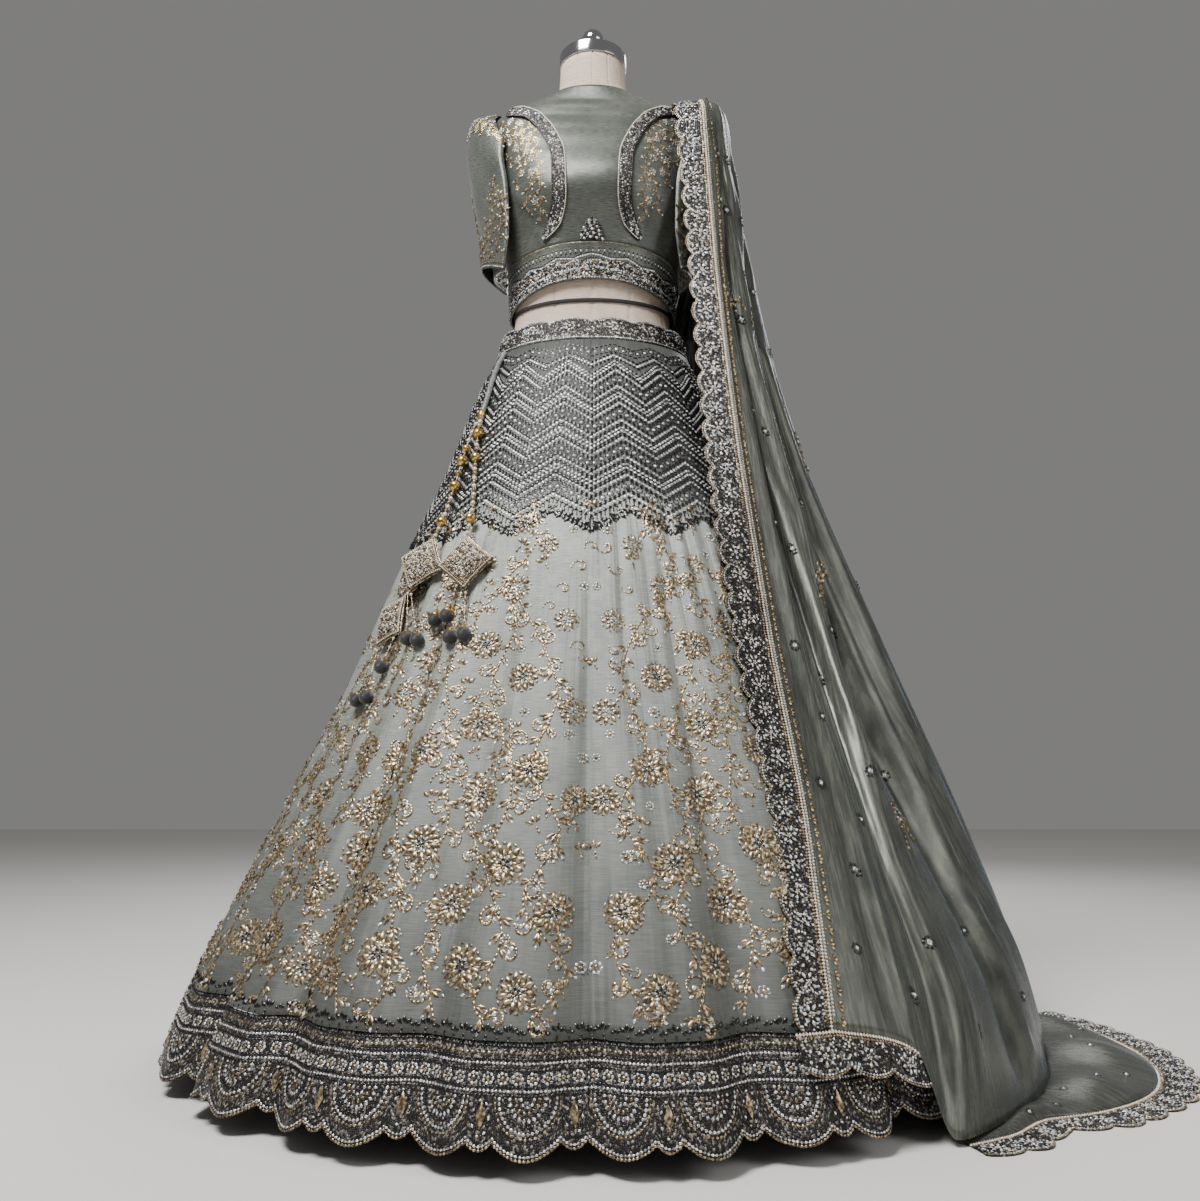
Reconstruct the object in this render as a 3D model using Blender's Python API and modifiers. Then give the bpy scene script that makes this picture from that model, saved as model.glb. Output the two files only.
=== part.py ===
# A lehenga choli with its dupatta, worn by a limbless dress form on a round stand.
# Metres, +Z up. The origin is the centre of the stand's underside, -Y is the front.
# An azimuth is measured in degrees from the front towards +X, the wearer's left.

import math
from collections import namedtuple

import bmesh
import bpy
from mathutils import Vector

# Walls and clearances
GAP = 0.0003
SILK = 0.0016
NET = 0.0016
TRIM = 0.0018
SEAM_RISE = 0.0006
BEADING = 0.0016
CHOLI_EASE = 0.0058

# Dress form
STAND_RADIUS = 0.200
STAND_THICKNESS = 0.010
POLE_RADIUS = 0.016
COLLAR_RADIUS = 0.032
COLLAR_HEIGHT = 0.030
TORSO_BOTTOM = 0.800
NECK_TOP = 1.597
CAP_RADIUS = 0.0575
CAP_BAND = 0.022
KNOB_RADIUS = 0.019
WAIST_HEIGHT = 1.139
TAPE_WIDTH = 0.006
TAPE_THICKNESS = 0.0010
TAPE_SIDES = 30
TAPE_LIFT = 0.0014

# Choli
ARMHOLE_HEIGHT = 1.411
ARMHOLE_HALF_HEIGHT = 0.081
ARMHOLE_HALF_ANGLE = 32.0
BAND_TOP_FRONT = 1.232
BAND_TOP_SIDE = 1.214
HEM_FRONT = 1.172
HEM_SIDE = 1.137
LAPEL_WIDTH = 0.021
SLEEVE_LAP = 0.0052
ON_CHOLI = 0.0020
MOTIF_LIFT = 0.0009

# Lehenga
KALIS = 10
WAISTBAND_TOP = 1.103
WAISTBAND_BOTTOM = 1.063
WAISTBAND_SCALLOPS = 14
WAISTBAND_SCALLOP_DEPTH = 0.006
YOKE_BOTTOM = 0.778
CHEVRON_ROWS = 9
CHEVRON_DROP = 0.024
BORDER_TOP = 0.122
HEM_HEIGHT = 0.020
FLUTES_PER_KALI = 2
FLUTE_START = 0.800
FLUTE_DEPTH = 0.016
SCALLOP_PAIRS_PER_KALI = 4
LARGE_SCALLOP_SHARE = 0.72
LARGE_SCALLOP = 0.015
SMALL_SCALLOP = 0.008

# Dupatta
DUPATTA_BORDER = 0.046
DUPATTA_SCALLOP = 0.010
DUPATTA_SCALLOP_PITCH = 0.056
MIN_COLUMN = 0.004
HANGING_FLARE = 0.022
BACK_FALL_END = 0.780
BACK_GATHERED = 0.35
SHOULDER_SEAM = 0.0008
BACK_SEAM = 0.0016

# Latkans
DORI_DIAMETER = 0.008
DORI_POINTS = 10
PAD_SIZE = 0.058
PAD_THICKNESS = 0.018
PAD_LEAN = 0.28
BALL_RADIUS = 0.0100
LOOP_RADIUS = 0.0020
HOOK_SPREAD = 0.0027
HOOK_CORNER = 0.0002
STRAND_HOOK = 0.0009
HOOK_EDGE = 0.0014
STRAND_SPREAD = 0.0038
STRAND_DROP = 0.0008

BodySection = namedtuple("BodySection", "height half_width front back roundness")
BODY = [BodySection(*row) for row in (
    (0.800, 0.140, 0.105, 0.110, 2.1),
    (0.900, 0.160, 0.112, 0.122, 2.2),
    (0.980, 0.160, 0.108, 0.118, 2.2),
    (1.075, 0.1538, 0.1101, 0.1101, 2.0),
    (1.100, 0.134, 0.094, 0.095, 2.0),
    (1.139, 0.128, 0.088, 0.088, 2.1),
    (1.200, 0.131, 0.093, 0.092, 2.2),
    (1.250, 0.139, 0.100, 0.096, 2.2),
    (1.330, 0.152, 0.113, 0.100, 2.3),
    (1.400, 0.160, 0.104, 0.102, 2.4),
    (1.450, 0.166, 0.084, 0.094, 2.5),
    (1.480, 0.162, 0.070, 0.082, 2.4),
    (1.498, 0.140, 0.062, 0.070, 2.2),
    (1.512, 0.104, 0.060, 0.064, 2.1),
    (1.528, 0.070, 0.058, 0.060, 2.0),
    (1.550, 0.058, 0.056, 0.057, 2.0),
    (1.597, 0.055, 0.055, 0.055, 2.0),
)]

Bust = namedtuple("Bust", "side height rise width length")
BUST = Bust(side=0.066, height=1.328, rise=0.014, width=0.058, length=0.052)

SkirtSection = namedtuple("SkirtSection", "height half_width half_depth")
SKIRT = [SkirtSection(*row) for row in (
    (1.110, 0.146, 0.103),
    (1.063, 0.156, 0.112),
    (0.998, 0.184, 0.152),
    (0.877, 0.227, 0.216),
    (0.727, 0.286, 0.286),
    (0.583, 0.340, 0.344),
    (0.460, 0.394, 0.400),
    (0.344, 0.450, 0.457),
    (0.234, 0.503, 0.510),
    (0.131, 0.555, 0.562),
    (0.081, 0.577, 0.584),
    (0.018, 0.600, 0.608),
)]

# How strongly each kali's two flutes stand out at the hem
FLUTE_STRENGTH = (1.00, 0.80, 1.10, 0.90, 1.05, 0.85, 1.15, 0.95, 1.20, 0.75)

# The sleeve's four running lines at each station below the armhole, for the wearer's left arm
SleeveStation = namedtuple("SleeveStation", "name front outer back inner")
SLEEVE = [SleeveStation(*row) for row in (
    ("cap", (0.146, -0.076, 1.428), (0.203, 0.0, 1.492), (0.148, 0.078, 1.430), (0.172, 0.0, 1.326)),
    ("upper arm", (0.146, -0.084, 1.395), (0.214, 0.0, 1.441), (0.152, 0.084, 1.396), (0.173, 0.0, 1.315)),
    ("mid", (0.137, -0.092, 1.335), (0.201, 0.0, 1.358), (0.150, 0.088, 1.345), (0.171, 0.0, 1.290)),
    ("lower", (0.134, -0.092, 1.262), (0.189, 0.0, 1.286), (0.149, 0.086, 1.278), (0.168, 0.0, 1.255)),
    ("cuff", (0.142, -0.084, 1.192), (0.184, 0.0, 1.228), (0.150, 0.080, 1.222), (0.166, 0.0, 1.212)),
)]

# The centre line of a lapel border as seen from the front, from the shoulder to its point
LapelPoint = namedtuple("LapelPoint", "side height")
LAPEL = [LapelPoint(*row) for row in (
    (0.134, 1.484),
    (0.104, 1.468),
    (0.072, 1.423),
    (0.053, 1.366),
    (0.050, 1.306),
    (0.058, 1.266),
    (0.074, 1.240),
)]

# Where the dupatta's long fold lines stand at each height, as (x, y). The field runs from the
# seam of its front border round to the far edge, behind the wearer's left side.
FoldStation = namedtuple(
    "FoldStation", "height edge seam slope valley rim hollow ridge outer back far"
)
FALL = [FoldStation(*row) for row in (
    (1.440, (0.133, -0.100), (0.183, -0.097), (0.193, -0.090), (0.203, -0.072), (0.214, -0.064),
     (0.219, -0.045), (0.227, -0.028), (0.233, 0.000), (0.234, 0.022), (0.232, 0.042)),
    (1.200, (0.148, -0.127), (0.194, -0.124), (0.203, -0.104), (0.212, -0.080), (0.240, -0.064),
     (0.238, -0.036), (0.252, -0.018), (0.271, 0.006), (0.268, 0.040), (0.258, 0.068)),
    (0.900, (0.162, -0.186), (0.214, -0.180), (0.238, -0.150), (0.254, -0.120), (0.286, -0.106),
     (0.287, -0.064), (0.300, -0.038), (0.345, 0.006), (0.345, 0.062), (0.326, 0.108)),
    (0.600, (0.182, -0.296), (0.241, -0.258), (0.272, -0.230), (0.295, -0.198), (0.335, -0.196),
     (0.340, -0.128), (0.385, -0.100), (0.452, 0.006), (0.462, 0.085), (0.440, 0.155)),
    (0.300, (0.214, -0.444), (0.261, -0.420), (0.293, -0.398), (0.326, -0.372), (0.372, -0.352),
     (0.412, -0.278), (0.497, -0.176), (0.575, 0.006), (0.592, 0.100), (0.565, 0.185)),
    (0.120, (0.217, -0.548), (0.260, -0.530), (0.308, -0.504), (0.353, -0.472), (0.408, -0.442),
     (0.464, -0.372), (0.570, -0.210), (0.640, 0.006), (0.656, 0.105), (0.634, 0.195)),
    (0.000, (0.234, -0.604), (0.285, -0.580), (0.340, -0.550), (0.386, -0.516), (0.393, -0.504),
     (0.468, -0.438), (0.586, -0.264), (0.665, 0.006), (0.682, 0.110), (0.658, 0.200)),
)]

# Where each fold line crosses the top of the shoulder, and the height at which it ends
FoldEnd = namedtuple("FoldEnd", "line shoulder bottom")
FALL_ENDS = [FoldEnd(*row) for row in (
    ("edge", (0.128, -0.004, 1.5122), 0.126),
    ("seam", (0.176, -0.004, 1.520), 0.126),
    ("slope", (0.184, -0.004, 1.526), 0.116),
    ("valley", (0.192, -0.004, 1.520), 0.094),
    ("rim", (0.200, -0.004, 1.527), 0.0080),
    ("hollow", (0.207, -0.003, 1.519), 0.0080),
    ("ridge", (0.215, -0.001, 1.523), 0.0080),
    ("outer", (0.224, 0.004, 1.513), 0.0080),
    ("back", (0.229, 0.020, 1.503), 0.0080),
    ("far", (0.230, 0.038, 1.492), 0.0080),
)]

# The train: the foot of the fall, the border's seam and the border's cut edge, on the floor,
# with the height of the soft wave between foot and seam
TrainSection = namedtuple("TrainSection", "foot seam edge wave")
TRAIN = [TrainSection(*row) for row in (
    ((0.404, -0.486), (0.409, -0.494), (0.418, -0.534), 0.002),
    ((0.452, -0.444), (0.468, -0.458), (0.490, -0.506), 0.004),
    ((0.500, -0.382), (0.524, -0.404), (0.540, -0.450), 0.012),
    ((0.545, -0.314), (0.592, -0.378), (0.610, -0.432), 0.006),
    ((0.587, -0.244), (0.665, -0.330), (0.688, -0.378), 0.018),
    ((0.622, -0.156), (0.722, -0.262), (0.758, -0.305), 0.008),
    ((0.650, -0.064), (0.762, -0.165), (0.808, -0.196), 0.020),
    ((0.668, 0.030), (0.778, -0.055), (0.832, -0.066), 0.008),
    ((0.678, 0.115), (0.768, 0.065), (0.818, 0.078), 0.014),
    ((0.658, 0.205), (0.730, 0.178), (0.772, 0.206), 0.004),
)]
TRAIN_WAVE_SHARE = 0.55
TRAIN_SEAM = 0.0014

# The back fall's lines across, from their place on the shoulder to their place at the end
BackLine = namedtuple("BackLine", "top bottom pleat")
BACK_FALL = [BackLine(*row) for row in (
    (0.174, 0.060, 0.004),
    (0.181, 0.094, 0.004),
    (0.187, 0.132, 0.012),
    (0.194, 0.170, 0.002),
    (0.200, 0.208, 0.012),
    (0.206, 0.248, 0.006),
)]
BackStation = namedtuple("BackStation", "height depth")
BACK_LINE = [BackStation(*row) for row in (
    (1.520, 0.004),
    (1.512, 0.030),
    (1.480, 0.082),
    (1.400, 0.118),
    (1.250, 0.126),
    (1.100, 0.138),
    (0.980, 0.176),
    (0.880, 0.222),
    (0.780, 0.270),
)]

# Latkans: places over the skirt as (azimuth, height, stand-off from the cloth)
Place = namedtuple("Place", "azimuth height lift")
DORI_ROUTE = [Place(*row) for row in (
    (-58.0, 1.0600, 0.0068),
    (-57.0, 1.0400, 0.0110),
    (-54.5, 1.0100, 0.0110),
    (-52.5, 0.9800, 0.0105),
    (-51.3, 0.9580, 0.0110),
    (-50.6, 0.9340, 0.0125),
)]
# A pad faces an azimuth and is turned in its own plane, both in degrees. Its corners and edges
# are named by shares (across, up) from -1 to 1.
Pad = namedtuple("Pad", "name place facing turn")
PADS = [Pad(*row) for row in (
    ("latkan_pad_1", Place(-46.0, 0.686, 0.0270), -28.0, 27.0),
    ("latkan_pad_2", Place(-31.0, 0.678, 0.0240), -18.0, -40.0),
    ("latkan_pad_3", Place(-54.5, 0.6086, 0.0190), -50.0, 14.0),
    ("latkan_pad_4", Place(-52.9, 0.666, 0.0175), -59.0, 24.0),
)]
Strand = namedtuple("Strand", "name side route pad across up sizes")
STRANDS = [Strand(*row) for row in (
    ("latkan_strand_1", 1.0,
     (Place(-47.0, 0.900, 0.0145), Place(-42.5, 0.850, 0.0145), Place(-36.0, 0.770, 0.0155)),
     "latkan_pad_2", -1.0, 1.0,
     (0.0045, 0.0085, 0.0040, 0.0070, 0.0040, 0.0040, 0.0040, 0.0040, 0.0080, 0.0035)),
    ("latkan_strand_2", -1.0,
     (Place(-52.0, 0.900, 0.0145), Place(-50.4, 0.850, 0.0145), Place(-47.6, 0.775, 0.0155)),
     "latkan_pad_1", 1.0, 1.0,
     (0.0040, 0.0040, 0.0065, 0.0090, 0.0055, 0.0085, 0.0040, 0.0040, 0.0080, 0.0035)),
)]
Ball = namedtuple("Ball", "pad across up side ball")
BALLS = [Ball(*row) for row in (
    ("latkan_pad_1", -1.0, -1.0, -1.0, Place(-43.8, 0.577, 0.0155)),
    ("latkan_pad_1", -1.0, -1.0, 1.0, Place(-40.2, 0.573, 0.0155)),
    ("latkan_pad_2", -0.5, -1.0, 0.0, Place(-37.2, 0.600, 0.0155)),
    ("latkan_pad_2", 1.0, -1.0, -1.0, Place(-30.8, 0.573, 0.0155)),
    ("latkan_pad_2", 0.5, -1.0, 0.0, Place(-33.7, 0.604, 0.0155)),
    ("latkan_pad_2", 1.0, -1.0, 1.0, Place(-27.2, 0.575, 0.0155)),
    ("latkan_pad_3", -1.0, -1.0, -1.0, Place(-56.2, 0.496, 0.0155)),
    ("latkan_pad_3", -1.0, -1.0, 1.0, Place(-52.4, 0.499, 0.0155)),
    ("latkan_pad_3", 0.5, -1.0, 0.0, Place(-50.0, 0.540, 0.0155)),
)]


def clear_scene():
    for obj in list(bpy.data.objects):
        bpy.data.objects.remove(obj, do_unlink=True)


def make_collection(name):
    group = bpy.data.collections.new(name)
    bpy.context.scene.collection.children.link(group)
    return group


def make_material(name, colour, roughness, metallic=0.0):
    mat = bpy.data.materials.new(name)
    mat.use_nodes = True
    shader = mat.node_tree.nodes["Principled BSDF"]
    shader.inputs["Base Color"].default_value = (*colour, 1.0)
    shader.inputs["Roughness"].default_value = roughness
    shader.inputs["Metallic"].default_value = metallic
    mat.diffuse_color = (*colour, 1.0)
    return mat


# Curves through tables

def curve_value(xs, ys, x):
    """A smooth curve through a table with rising xs, with no overshoot between its rows."""
    if x <= xs[0]:
        return ys[0]
    if x >= xs[-1]:
        return ys[-1]
    i = max(k for k in range(len(xs) - 1) if xs[k] <= x)
    slopes = [(ys[k + 1] - ys[k]) / (xs[k + 1] - xs[k]) for k in range(len(xs) - 1)]

    def tangent(k):
        if k in (0, len(xs) - 1):
            return slopes[0] if k == 0 else slopes[-1]
        before, after = slopes[k - 1], slopes[k]
        if before * after <= 0:
            return 0.0
        return 2.0 * before * after / (before + after)

    h = xs[i + 1] - xs[i]
    t = (x - xs[i]) / h
    return (
        (2 * t ** 3 - 3 * t ** 2 + 1) * ys[i]
        + (t ** 3 - 2 * t ** 2 + t) * h * tangent(i)
        + (3 * t ** 2 - 2 * t ** 3) * ys[i + 1]
        + (t ** 3 - t ** 2) * h * tangent(i + 1)
    )


def section_at(table, height):
    """The named values of a table of sections at a height between its rows."""
    rows = sorted(table, key=lambda row: row.height)
    heights = [row.height for row in rows]
    names = table[0]._fields[1:]
    values = [curve_value(heights, [getattr(row, name) for row in rows], height) for name in names]
    return namedtuple("Section", names)(*values)


def through(points, t):
    """A point on a smooth open curve through points, t from 0 to 1."""
    last = len(points) - 1
    stations = [k / last for k in range(last + 1)]
    return Vector([curve_value(stations, [p[axis] for p in points], t) for axis in range(len(points[0]))])


def along(points, distance):
    """The point at a distance along a polyline, and the direction there."""
    for a, b in zip(points, points[1:]):
        step = (b - a).length
        if distance <= step:
            return a + (b - a) * (distance / step), (b - a).normalized()
        distance -= step
    return points[-1].copy(), (points[-1] - points[-2]).normalized()


def length_of(points):
    return sum((b - a).length for a, b in zip(points, points[1:]))


def smooth_step(t):
    t = min(1.0, max(0.0, t))
    return t * t * (3.0 - 2.0 * t)


# Solids

def add_object(name, mesh, mat, group):
    obj = bpy.data.objects.new(name, mesh)
    obj.data.materials.append(mat)
    group.objects.link(obj)
    return obj


def in_triangles(obj):
    """Fixes how each bent four-sided face is split, so that the gaps stay as they were set."""
    split = obj.modifiers.new("Triangles", "TRIANGULATE")
    split.quad_method = "BEAUTY"
    split.ngon_method = "BEAUTY"


def wall(name, rows, thickness, mat, group, closed=False, raised=None):
    """A cloth wall on a grid of points. Its plain inner face is the grid, and the wall stands
    outwards from it. raised holds a share of the full thickness for each point."""
    across = len(rows[0])
    points = [point for row in rows for point in row]
    faces = []
    for r in range(len(rows) - 1):
        for c in range(across if closed else across - 1):
            right = (c + 1) % across
            faces.append((r * across + c, (r + 1) * across + c, (r + 1) * across + right, r * across + right))
    mesh = bpy.data.meshes.new(name)
    mesh.from_pydata([tuple(p) for p in points], [], faces)
    mesh.validate()
    obj = add_object(name, mesh, mat, group)
    shell = obj.modifiers.new("Wall", "SOLIDIFY")
    shell.thickness = thickness
    shell.offset = 1.0
    if raised:
        relief = obj.vertex_groups.new(name="relief")
        for index, share in enumerate(share for row in raised for share in row):
            relief.add([index], share, "REPLACE")
        shell.vertex_group = "relief"
    in_triangles(obj)
    return obj


def loft(name, rings, mat, group):
    """A closed solid through rings of points, from the lowest to the highest."""
    build = bmesh.new()
    layers = [[build.verts.new(p) for p in ring] for ring in rings]
    count = len(rings[0])
    for low, high in zip(layers, layers[1:]):
        for k in range(count):
            nxt = (k + 1) % count
            build.faces.new((low[k], low[nxt], high[nxt], high[k]))
    build.faces.new(list(reversed(layers[0])))
    build.faces.new(layers[-1])
    mesh = bpy.data.meshes.new(name)
    build.to_mesh(mesh)
    build.free()
    obj = add_object(name, mesh, mat, group)
    in_triangles(obj)
    return obj


def turned(name, profile, steps, mat, group):
    """A solid of revolution about Z from a profile of (radius, height), top to bottom."""
    mesh = bpy.data.meshes.new(name)
    mesh.from_pydata([(r, 0.0, z) for r, z in profile], [(k, k + 1) for k in range(len(profile) - 1)], [])
    obj = add_object(name, mesh, mat, group)
    screw = obj.modifiers.new("Turn", "SCREW")
    screw.steps = steps
    screw.render_steps = steps
    screw.use_merge_vertices = True
    screw.merge_threshold = 0.00005
    return obj


def tube(name, points, radii, resolution, mat, group):
    """A round cord or bead string along points, with a radius at each point."""
    curve = bpy.data.curves.new(name, "CURVE")
    curve.dimensions = "3D"
    curve.bevel_depth = 1.0
    curve.bevel_resolution = resolution
    curve.use_fill_caps = True
    line = curve.splines.new("POLY")
    line.points.add(len(points) - 1)
    for spot, point, radius in zip(line.points, points, radii):
        spot.co = (*point, 1.0)
        spot.radius = radius
    return add_object(name, curve, mat, group)


# The dress form

def ring_point(half_width, depth, roundness, azimuth):
    side, ahead = math.sin(math.radians(azimuth)), math.cos(math.radians(azimuth))
    power = 2.0 / roundness
    x = half_width * math.copysign(abs(side) ** power, side)
    y = -depth * math.copysign(abs(ahead) ** power, ahead)
    return x, y


def bust_rise(x, height, bridge):
    side = max(0.0, abs(x) - BUST.side) if bridge and abs(x) < BUST.side else abs(x) - BUST.side
    return BUST.rise * math.exp(-((side / BUST.width) ** 2) - ((height - BUST.height) / BUST.length) ** 2)


def form_point(azimuth, height, bridge=False):
    """A point on the form. With bridge, the cloth spans the hollow between the cups."""
    row = section_at(BODY, height)
    ahead = math.cos(math.radians(azimuth))
    depth = row.front if ahead > 0 else row.back
    x, y = ring_point(row.half_width, depth, row.roundness, azimuth)
    if ahead > 0:
        y -= bust_rise(x, height, bridge) * ahead
    return Vector((x, y, height))


def over_form(azimuth, height, lift):
    """A point over the form, moved out along the surface's own normal."""
    step_angle, step_height = 1.5, 0.003
    here = form_point(azimuth, height, True)
    across = form_point(azimuth + step_angle, height, True) - form_point(azimuth - step_angle, height, True)
    up = form_point(azimuth, height + step_height, True) - form_point(azimuth, height - step_height, True)
    normal = across.cross(up).normalized()
    return here + normal * lift


def build_form(group, cloth, chrome, tape, metal):
    columns = 20
    heights = [TORSO_BOTTOM, 0.90, 0.99, 1.075, 1.100, 1.139, 1.20, 1.26, 1.31, 1.36, 1.41, 1.455,
               1.482, 1.500, 1.518, 1.540, NECK_TOP]
    rings = [[form_point(360.0 * k / columns, z) for k in range(columns)] for z in heights]
    loft("form_torso", rings, cloth, group)

    base = NECK_TOP + GAP
    band_top = base + CAP_BAND
    knob_centre = band_top + 0.016 + KNOB_RADIUS
    turned("neck_cap", (
        (0.0, band_top + 0.012),
        (0.006, band_top + 0.012),
        (0.030, band_top + 0.009),
        (0.048, band_top + 0.004),
        (CAP_RADIUS - 0.002, band_top),
        (CAP_RADIUS, band_top - 0.002),
        (CAP_RADIUS, base + 0.002),
        (CAP_RADIUS - 0.001, base),
        (0.0, base),
    ), 24, chrome, group)
    foot = band_top + 0.012 + GAP
    ball = [(KNOB_RADIUS * math.cos(math.radians(a)), knob_centre + KNOB_RADIUS * math.sin(math.radians(a)))
            for a in (66, 44, 22, 0, -22, -44)]
    turned("neck_knob", [(0.0, knob_centre + KNOB_RADIUS)] + ball + [(0.008, foot + 0.002), (0.008, foot),
                                                                  (0.0, foot)], 16, chrome, group)

    rows = []
    for z in (WAIST_HEIGHT + TAPE_WIDTH / 2, WAIST_HEIGHT - TAPE_WIDTH / 2):
        rows.append([over_form(360.0 * k / TAPE_SIDES, z, TAPE_LIFT) for k in range(TAPE_SIDES)])
    wall("waist_tape", rows, TAPE_THICKNESS, tape, group, closed=True)

    turned("stand_pole", (
        (0.0, TORSO_BOTTOM - GAP),
        (COLLAR_RADIUS, TORSO_BOTTOM - GAP),
        (COLLAR_RADIUS, TORSO_BOTTOM - COLLAR_HEIGHT),
        (POLE_RADIUS, TORSO_BOTTOM - COLLAR_HEIGHT - 0.006),
        (POLE_RADIUS, STAND_THICKNESS + COLLAR_HEIGHT),
        (COLLAR_RADIUS, STAND_THICKNESS + COLLAR_HEIGHT - 0.008),
        (COLLAR_RADIUS, STAND_THICKNESS + GAP),
        (0.0, STAND_THICKNESS + GAP),
    ), 16, metal, group)
    turned("stand_base", (
        (0.0, STAND_THICKNESS),
        (STAND_RADIUS - 0.006, STAND_THICKNESS),
        (STAND_RADIUS, STAND_THICKNESS - 0.004),
        (STAND_RADIUS, 0.0),
        (0.0, 0.0),
    ), 40, metal, group)


# The choli

def armhole_azimuth(height):
    """How far round the front or back panel reaches at a height."""
    share = (height - ARMHOLE_HEIGHT) / ARMHOLE_HALF_HEIGHT
    if abs(share) >= 1.0:
        return 90.0
    return 90.0 - ARMHOLE_HALF_ANGLE * math.sqrt(1.0 - share * share)


def choli_band_top(azimuth):
    return BAND_TOP_SIDE + (BAND_TOP_FRONT - BAND_TOP_SIDE) * max(0.0, math.cos(math.radians(azimuth))) ** 2


def choli_hem(azimuth):
    return HEM_SIDE + (HEM_FRONT - HEM_SIDE) * max(0.0, math.cos(math.radians(azimuth))) ** 1.5


def choli_panel(name, middle, mat, group):
    """The front (middle 0) or back (middle 180) panel, from the neck to the band."""
    heights = (1.528, 1.513, 1.4935, 1.470, 1.440, 1.400, 1.360, 1.3295, 1.300, 1.265)
    columns = 12
    seam = math.degrees(GAP / 2 / 0.15)
    rows = []
    for z in heights:
        reach = armhole_azimuth(z) - seam
        rows.append([over_form(middle + reach * (2.0 * k / columns - 1.0), z, CHOLI_EASE)
                     for k in range(columns + 1)])
    last = []
    for k in range(columns + 1):
        azimuth = middle + (90.0 - seam) * (2.0 * k / columns - 1.0)
        last.append(over_form(azimuth, choli_band_top(azimuth) + GAP, CHOLI_EASE))
    rows.append(last)
    wall(name, rows, SILK, mat, group)


def choli_band(name, middle, mat, group):
    columns = 16
    seam = math.degrees(GAP / 2 / 0.14)
    rows = []
    for share in (0.0, 1.0):
        row = []
        for k in range(columns + 1):
            azimuth = middle + (90.0 - seam) * (2.0 * k / columns - 1.0)
            top, hem = choli_band_top(azimuth) - GAP, choli_hem(azimuth)
            row.append(over_form(azimuth, top + (hem - top) * share, CHOLI_EASE))
        rows.append(row)
    wall(name, rows, BEADING + SILK, mat, group)


def parabola(start, middle, end, t):
    control = 2.0 * middle - (start + end) / 2.0
    return (1 - t) ** 2 * start + 2 * t * (1 - t) * control + t * t * end


def sleeve(name, side, mat, group):
    """An open tube, flattened as an empty sleeve hangs, set over the armhole's edge."""
    arc = 5
    lift = CHOLI_EASE + SILK + SLEEVE_LAP
    lap = 1.05
    loops = []
    armhole = []
    for k in range(2 * arc):
        turn = math.radians(90.0 - 180.0 * k / arc)
        azimuth = 90.0 - ARMHOLE_HALF_ANGLE * lap * math.sin(turn)
        height = ARMHOLE_HEIGHT + ARMHOLE_HALF_HEIGHT * lap * math.cos(turn)
        armhole.append(over_form(azimuth, height, lift))
    loops.append(armhole)
    for station in SLEEVE:
        front, outer, back, inner = (Vector(p) for p in station[1:])
        loop = [parabola(front, outer, back, k / arc) for k in range(arc)]
        loop += [parabola(back, inner, front, k / arc) for k in range(arc)]
        loops.append(loop)
    rows = []
    steps = 8
    for s in range(steps + 1):
        rows.append([through([loop[k] for loop in loops], s / steps) for k in range(2 * arc)])
    if side < 0:
        rows = [[Vector((-p.x, p.y, p.z)) for p in reversed(row)] for row in rows]
    rows = [list(reversed(row)) for row in rows]
    wall(name, rows, SILK, mat, group, closed=True)


def azimuth_of(x, height):
    row = section_at(BODY, height)
    share = min(0.98, abs(x) / row.half_width) ** (row.roundness / 2.0)
    return math.copysign(math.degrees(math.asin(share)), x)


def lapel(name, side, mat, group):
    steps = 12
    lift = CHOLI_EASE + SILK + ON_CHOLI
    line = [Vector((p.side, p.height)) for p in LAPEL]
    rows = []
    for s in range(steps + 1):
        t = s / steps
        here = through(line, t)
        ahead = through(line, min(1.0, t + 0.01)) - through(line, max(0.0, t - 0.01))
        across = Vector((-ahead.y, ahead.x)).normalized()
        width = LAPEL_WIDTH * (0.25 + 0.75 * min(1.0, 6.0 * (1.0 - t)))
        row = []
        for share in (-0.5, 0.0, 0.5):
            spot = here + across * width * share
            row.append(over_form(azimuth_of(spot.x, spot.y), spot.y, lift))
        rows.append(row)
    if side < 0:
        rows = [[Vector((-p.x, p.y, p.z)) for p in reversed(row)] for row in rows]
    wall(name, rows, TRIM, mat, group)


def centre_motif(mat, group):
    lift = CHOLI_EASE + SILK + MOTIF_LIFT
    rows = []
    for height, half in ((1.268, 0.004), (1.262, 0.011), (1.252, 0.016), (1.240, 0.018), (1.2335, 0.019)):
        rows.append([over_form(azimuth_of(half * s, height), height, lift) for s in (-1.0, -0.5, 0.0, 0.5, 1.0)])
    wall("choli_centre_motif", rows, TRIM, mat, group)


# The lehenga

def flute_profile(share):
    """Across one kali: a valley at each seam and at the middle, with flat crests between."""
    t = (share * FLUTES_PER_KALI) % 1.0
    edge = min(t, 1.0 - t) * 3.0
    return -1.0 + 1.6 * smooth_step(edge)


def skirt_point(azimuth, height, lift=0.0):
    row = section_at(SKIRT, height)
    turn = (azimuth % 360.0) / (360.0 / KALIS)
    kali = int(turn) % KALIS
    fall = smooth_step((FLUTE_START - height) / (FLUTE_START - HEM_HEIGHT))
    flute = FLUTE_DEPTH * FLUTE_STRENGTH[kali] * fall * flute_profile(turn - int(turn))
    side, ahead = math.sin(math.radians(azimuth)), math.cos(math.radians(azimuth))
    return Vector(((row.half_width + flute + lift) * side, -(row.half_depth + flute + lift) * ahead, height))


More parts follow.
